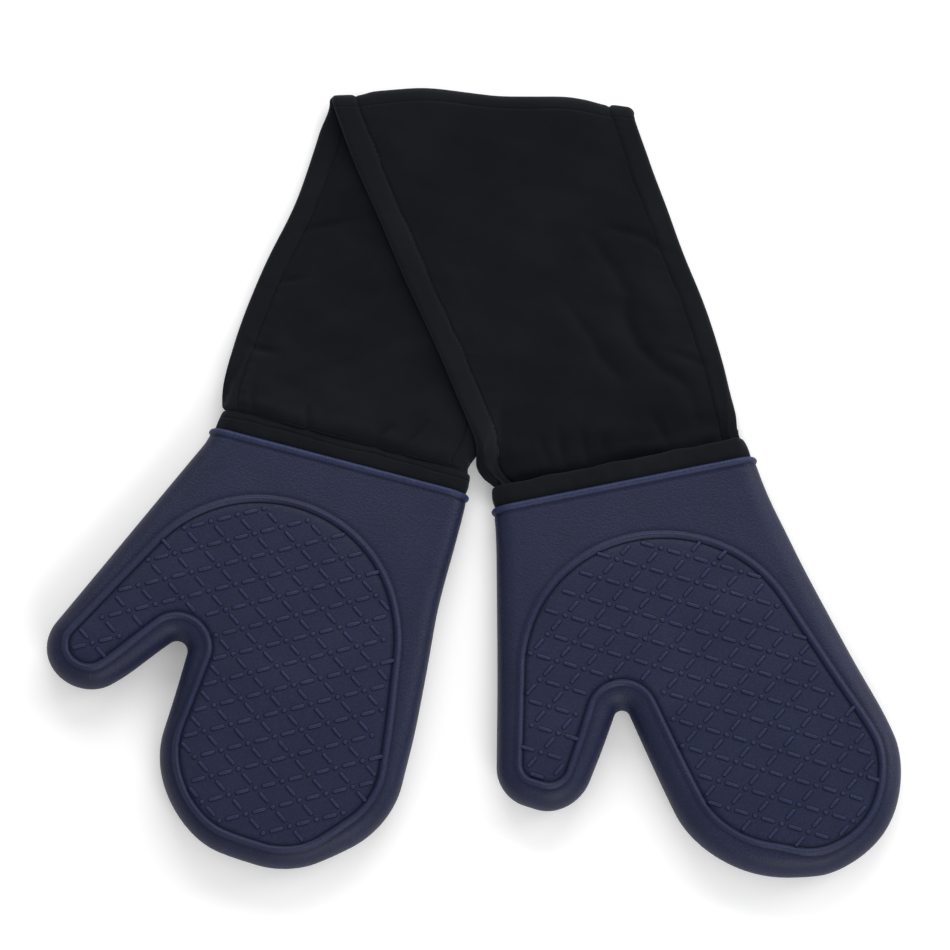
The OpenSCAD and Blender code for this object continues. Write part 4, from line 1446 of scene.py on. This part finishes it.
def periodic(turns, phase):
    """A wave with a whole number of turns once round the cuff."""
    return np.sin(way / whole_way * 2 * math.pi * turns + phase)


for side, k in (("left", 0.0), ("right", 2.6)):
    rings = []
    for y, depth in rim_section:
        hidden = 2.05 <= depth <= 4.75 and y < 12.2
        x, z = round_the_cuff(float(depth))
        # Out of the wall: away from the middle of the mouth
        round_side = np.sign(base_x) * np.maximum(0, np.abs(base_x) - flat_half) / edge_r
        outward = np.stack([round_side, (base_z - cuff_h / 2) / (cuff_h / 2)], -1)
        outward /= np.linalg.norm(outward, axis=1)[:, None]
        facing = 1 if depth < 3.4 else -1
        swell = 0 if hidden else math.sin(min(1, max(0, y / binding_w)) * math.pi)
        gather = 0.20 * periodic(41, k + 0.35 * y) + 0.16 * periodic(23, 2 * k - 0.2 * y)
        gather = gather + 0.12 * periodic(67, k)
        out_by = facing * swell * gather
        rim_wave = 0.30 * periodic(9, k) + 0.18 * periodic(17, 1.7 * k + 1)
        beyond = y + rim_wave * (0 if hidden else smooth((y - 6) / 6))
        if side == "left" and facing > 0 and 7.9 < y < 9:
            # The band is sewn on through the tape, which leaves a line of its own
            beyond = beyond + 0.5 * periodic(5, 1.0) + 0.25 * periodic(13, 0.4)
            out_by = out_by - (0.55 if y == 8.4 else 0.15) * (base_z > cuff_h / 2)
        rings.append(np.c_[x + out_by * outward[:, 0], beyond, z + out_by * outward[:, 1]])
    rings = np.array(rings)
    rows, cols = rings.shape[:2]
    faces = []
    for r in range(rows):
        for c in range(cols):
            a, b = r * cols + c, r * cols + (c + 1) % cols
            a2, b2 = (a + cols) % (rows * cols), (b + cols) % (rows * cols)
            faces.append((a, b, b2, a2))
    points = on_table(side, rings.reshape(-1, 3))
    binding = side + "_cuff_binding"
    tape = piece(f"{side}_cuff_tape", points, faces, [tape_cotton], side + "_mitt", [binding])
    turn_outwards(tape)
    across = np.concatenate([[0], np.cumsum(np.hypot(*np.diff(rim_section, axis=0).T))])
    lay_out(tape, np.stack(np.broadcast_arrays(way[None, :], across[:, None]), -1).reshape(-1, 2))

    # The turned-in allowance of the seam runs from inside the binding into the band and bends with the cuff
    half = halves["back" if side == "left" else "front"]
    way_out = np.linspace(binding_w - 6, binding_w - 6 + allowance_size, 14)
    s, y = np.meshgrid(np.linspace(-0.985, 0.985, 90), way_out)
    s = s * (1 - 0.035 * smooth((y - binding_w + 1) / 3))
    line_x, line_z = seam_x(s), wall_z(half["hand"], seam_x(s))
    slope = np.stack([np.gradient(line_x, axis=1), np.gradient(line_z, axis=1)], -1)
    slope /= np.linalg.norm(slope, axis=-1, keepdims=True)
    thick = 1.7 * np.clip((1 - np.abs(s)) / 0.06, 0.5, 1)
    skins = []
    for face in (thick, -thick):
        layer = np.stack([line_x - face * slope[..., 1], y, line_z + face * slope[..., 0]], -1)
        skins.append(on_table(side, layer.reshape(-1, 3)).reshape(*s.shape, 3))
    allowance = slab(f"{side}_seam_allowance", skins, np.stack([s * cloth_half, y], -1), None, [])
    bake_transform(allowance)

# ---- Linings ----
# A pocket of black cotton inside each mitt, quilted in diamonds to the wadding.
# Its upper and lower halves are sewn together round the rim, and its raw edge
# ends inside the cuff binding.
lining_depths, lining_reach, lining_step = (4.0, 4.8), 12.0, 5
quilt = 24
for side in ("left", "right"):
    skins = [pocket_skin(side, depth, lining_step, False, lining_reach) for depth in lining_depths]
    points, faces, _ = two_skins(*skins)
    diamond = np.abs(np.sin((points[:, 0] + points[:, 1]) * math.pi / quilt)) * np.abs(
        np.sin((points[:, 0] - points[:, 1]) * math.pi / quilt)
    )
    mid = (cuff_h + (mitt_h - cuff_h) * np.clip(-points[:, 1] / swell_l, 0, 1)) / 2
    wall = np.clip((points[:, 2] - mid) / 3, -1, 1)
    puff = 0.5 * diamond**0.5 * smooth((-points[:, 1] - 2) / 12)
    points[:, 2] -= wall * puff
    obj = piece(
        side + "_pocket_lining",
        on_table(side, points),
        faces,
        [black_cotton],
        side + "_mitt",
        [side + "_upper_lining", side + "_lower_lining"],
    )
    turn_outwards(obj)
    lay_out(obj, points[:, :2] + (points[:, 2:3] > mid[:, None]) * np.array([[300, 0]]))
    flat, cloth = pocket_size(obj, skins[0][0])

# ---- Stitches ----
# Black thread: one row of stitches on each face of every edge binding, running
# on over the fold.
stitch_l, stitch_pitch, thread_w = 2.4, 3.1, 0.5


def thread_bar(name):
    """One stitch: a short thread that dips into the cloth at both ends."""
    rings = []
    for t in np.linspace(-1, 1, 7):
        r, high = thread_w / 2 * (1 - 0.35 * t**4), 0.16 - 0.42 * t**4
        around = np.radians(np.arange(0, 360, 60))
        rings.append([(t * stitch_l / 2, r * math.cos(a), high + r * math.sin(a)) for a in around])
    obj = mould(name, rings)
    turn_outwards(obj)
    return obj


black_thread, tree, skin = principled("black_thread", Roughness=0.6, Specular_IOR_Level=0.12)
place = node(tree, "ShaderNodeTexCoord", (-600, 0))
twist = node(tree, "ShaderNodeTexNoise", (-400, 0), Scale=2500.0, Detail=1.0)
tone = ramp(tree, (-200, 0), ((0.0030, 0.0033, 0.0045), (0.0055, 0.0060, 0.0080)))
wire(
    tree,
    (place, "Object", twist, "Vector"),
    (twist, "Fac", tone, "Fac"),
    (tone, "Color", skin, "Base Color"),
)

stitch_tree, stitch_keys = node_group("row_of_stitches", [("Stitch", "Object"), ("Material", "Material")])
t, link = stitch_tree, stitch_tree.links.new
given = node(t, "NodeGroupInput", (-800, 0))
seen_from = node(t, "GeometryNodeInputNamedAttribute", (-800, -250), data_type="FLOAT_VECTOR")
seen_from.inputs["Name"].default_value = "facing"
runs_along = node(t, "GeometryNodeInputNamedAttribute", (-800, -450), data_type="FLOAT_VECTOR")
runs_along.inputs["Name"].default_value = "heading"
axes = node(t, "FunctionNodeAxesToRotation", (-500, -300), primary_axis="Z", secondary_axis="X")
shape = node(t, "GeometryNodeObjectInfo", (-500, -550), transform_space="ORIGINAL")
copies = node(t, "GeometryNodeInstanceOnPoints", (-200, 0))
real = node(t, "GeometryNodeRealizeInstances", (0, 0))
dressed = node(t, "GeometryNodeSetMaterial", (200, 0))
out = node(t, "NodeGroupOutput", (400, 0))
wire(
    t,
    (seen_from, 0, axes, 0),
    (runs_along, 0, axes, 1),
    (given, "Stitch", shape, "Object"),
    (given, "Geometry", copies, "Points"),
    (shape, "Geometry", copies, "Instance"),
    (axes, 0, copies, "Rotation"),
    (copies, "Instances", real, 0),
    (real, 0, dressed, "Geometry"),
    (given, "Material", dressed, "Material"),
    (dressed, "Geometry", out, 0),
)
stitch_mould = thread_bar("stitch_mould")


def sewn(name, lines, body):
    """Rows of stitches as one piece; each line is (points, the way out of the cloth at each point)."""
    places, facing, heading = [], [], []
    for line, normals in lines:
        along_line = np.gradient(line, axis=0)
        at = np.concatenate([[0], np.cumsum(np.linalg.norm(np.diff(line, axis=0), axis=1))])
        stops = np.arange(stitch_pitch / 2, at[-1], stitch_pitch)
        for values, store in ((line, places), (normals, facing), (along_line, heading)):
            store.append(np.stack([np.interp(stops, at, values[:, k]) for k in range(3)], 1))
    places, facing, heading = (np.concatenate(x) for x in (places, facing, heading))
    mesh = bpy.data.meshes.new("holes")
    mesh.from_pydata((places * MM).tolist(), [], [])
    for attribute, values in (("facing", facing), ("heading", heading)):
        values = values / np.linalg.norm(values, axis=1)[:, None]
        store = mesh.attributes.new(attribute, "FLOAT_VECTOR", "POINT")
        store.data.foreach_set("vector", values.astype(np.float32).ravel())
    holder = placed("holes", mesh)
    made = grown(holder, stitch_tree, {"Stitch": stitch_mould, "Material": black_thread}, stitch_keys)
    made.name = name
    strip_attributes(made, "facing", "heading")
    made.polygons.foreach_set("use_smooth", [True] * len(made.polygons))
    obj = placed(name, made)
    forget(holder)
    if body:
        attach(obj, body)
    return obj


def tape_line(half, end, w, face):
    """The stitch line on one face of a tape, and the way out of the cloth along it."""
    u = stitch_in(half, end) + wobble(end, w)
    rows = []
    for lift in (0.08, 1.08):
        s = end * (1 - u / seam_half)
        off = face * (band_half_t + lift + dressing(half, s, w, face))
        rows.append(dressed_point(half, s, w, off))
    return rows[0], rows[1] - rows[0]


for name, half in halves.items():
    w = np.arange(bend_length, half["end"] - 1, 1.0)
    lines = [tape_line(half, end, w, face) for end in (-1, 1) for face in (1, -1)]
    sewn(f"{name}_edge_stitches", lines, f"{name}_half")
w = np.linspace(-bend_length, bend_length, 21)
lines = []
for end in (-1, 1):
    for face in (1, -1):
        parts = [tape_line(halves[n], end, np.abs(w), face) for n in ("back", "front")]
        lines.append(tuple(back_then_front(w, values) for values in zip(*parts)))
obj = sewn("fold_edge_stitches", lines, None)
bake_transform(obj)
forget(stitch_mould)
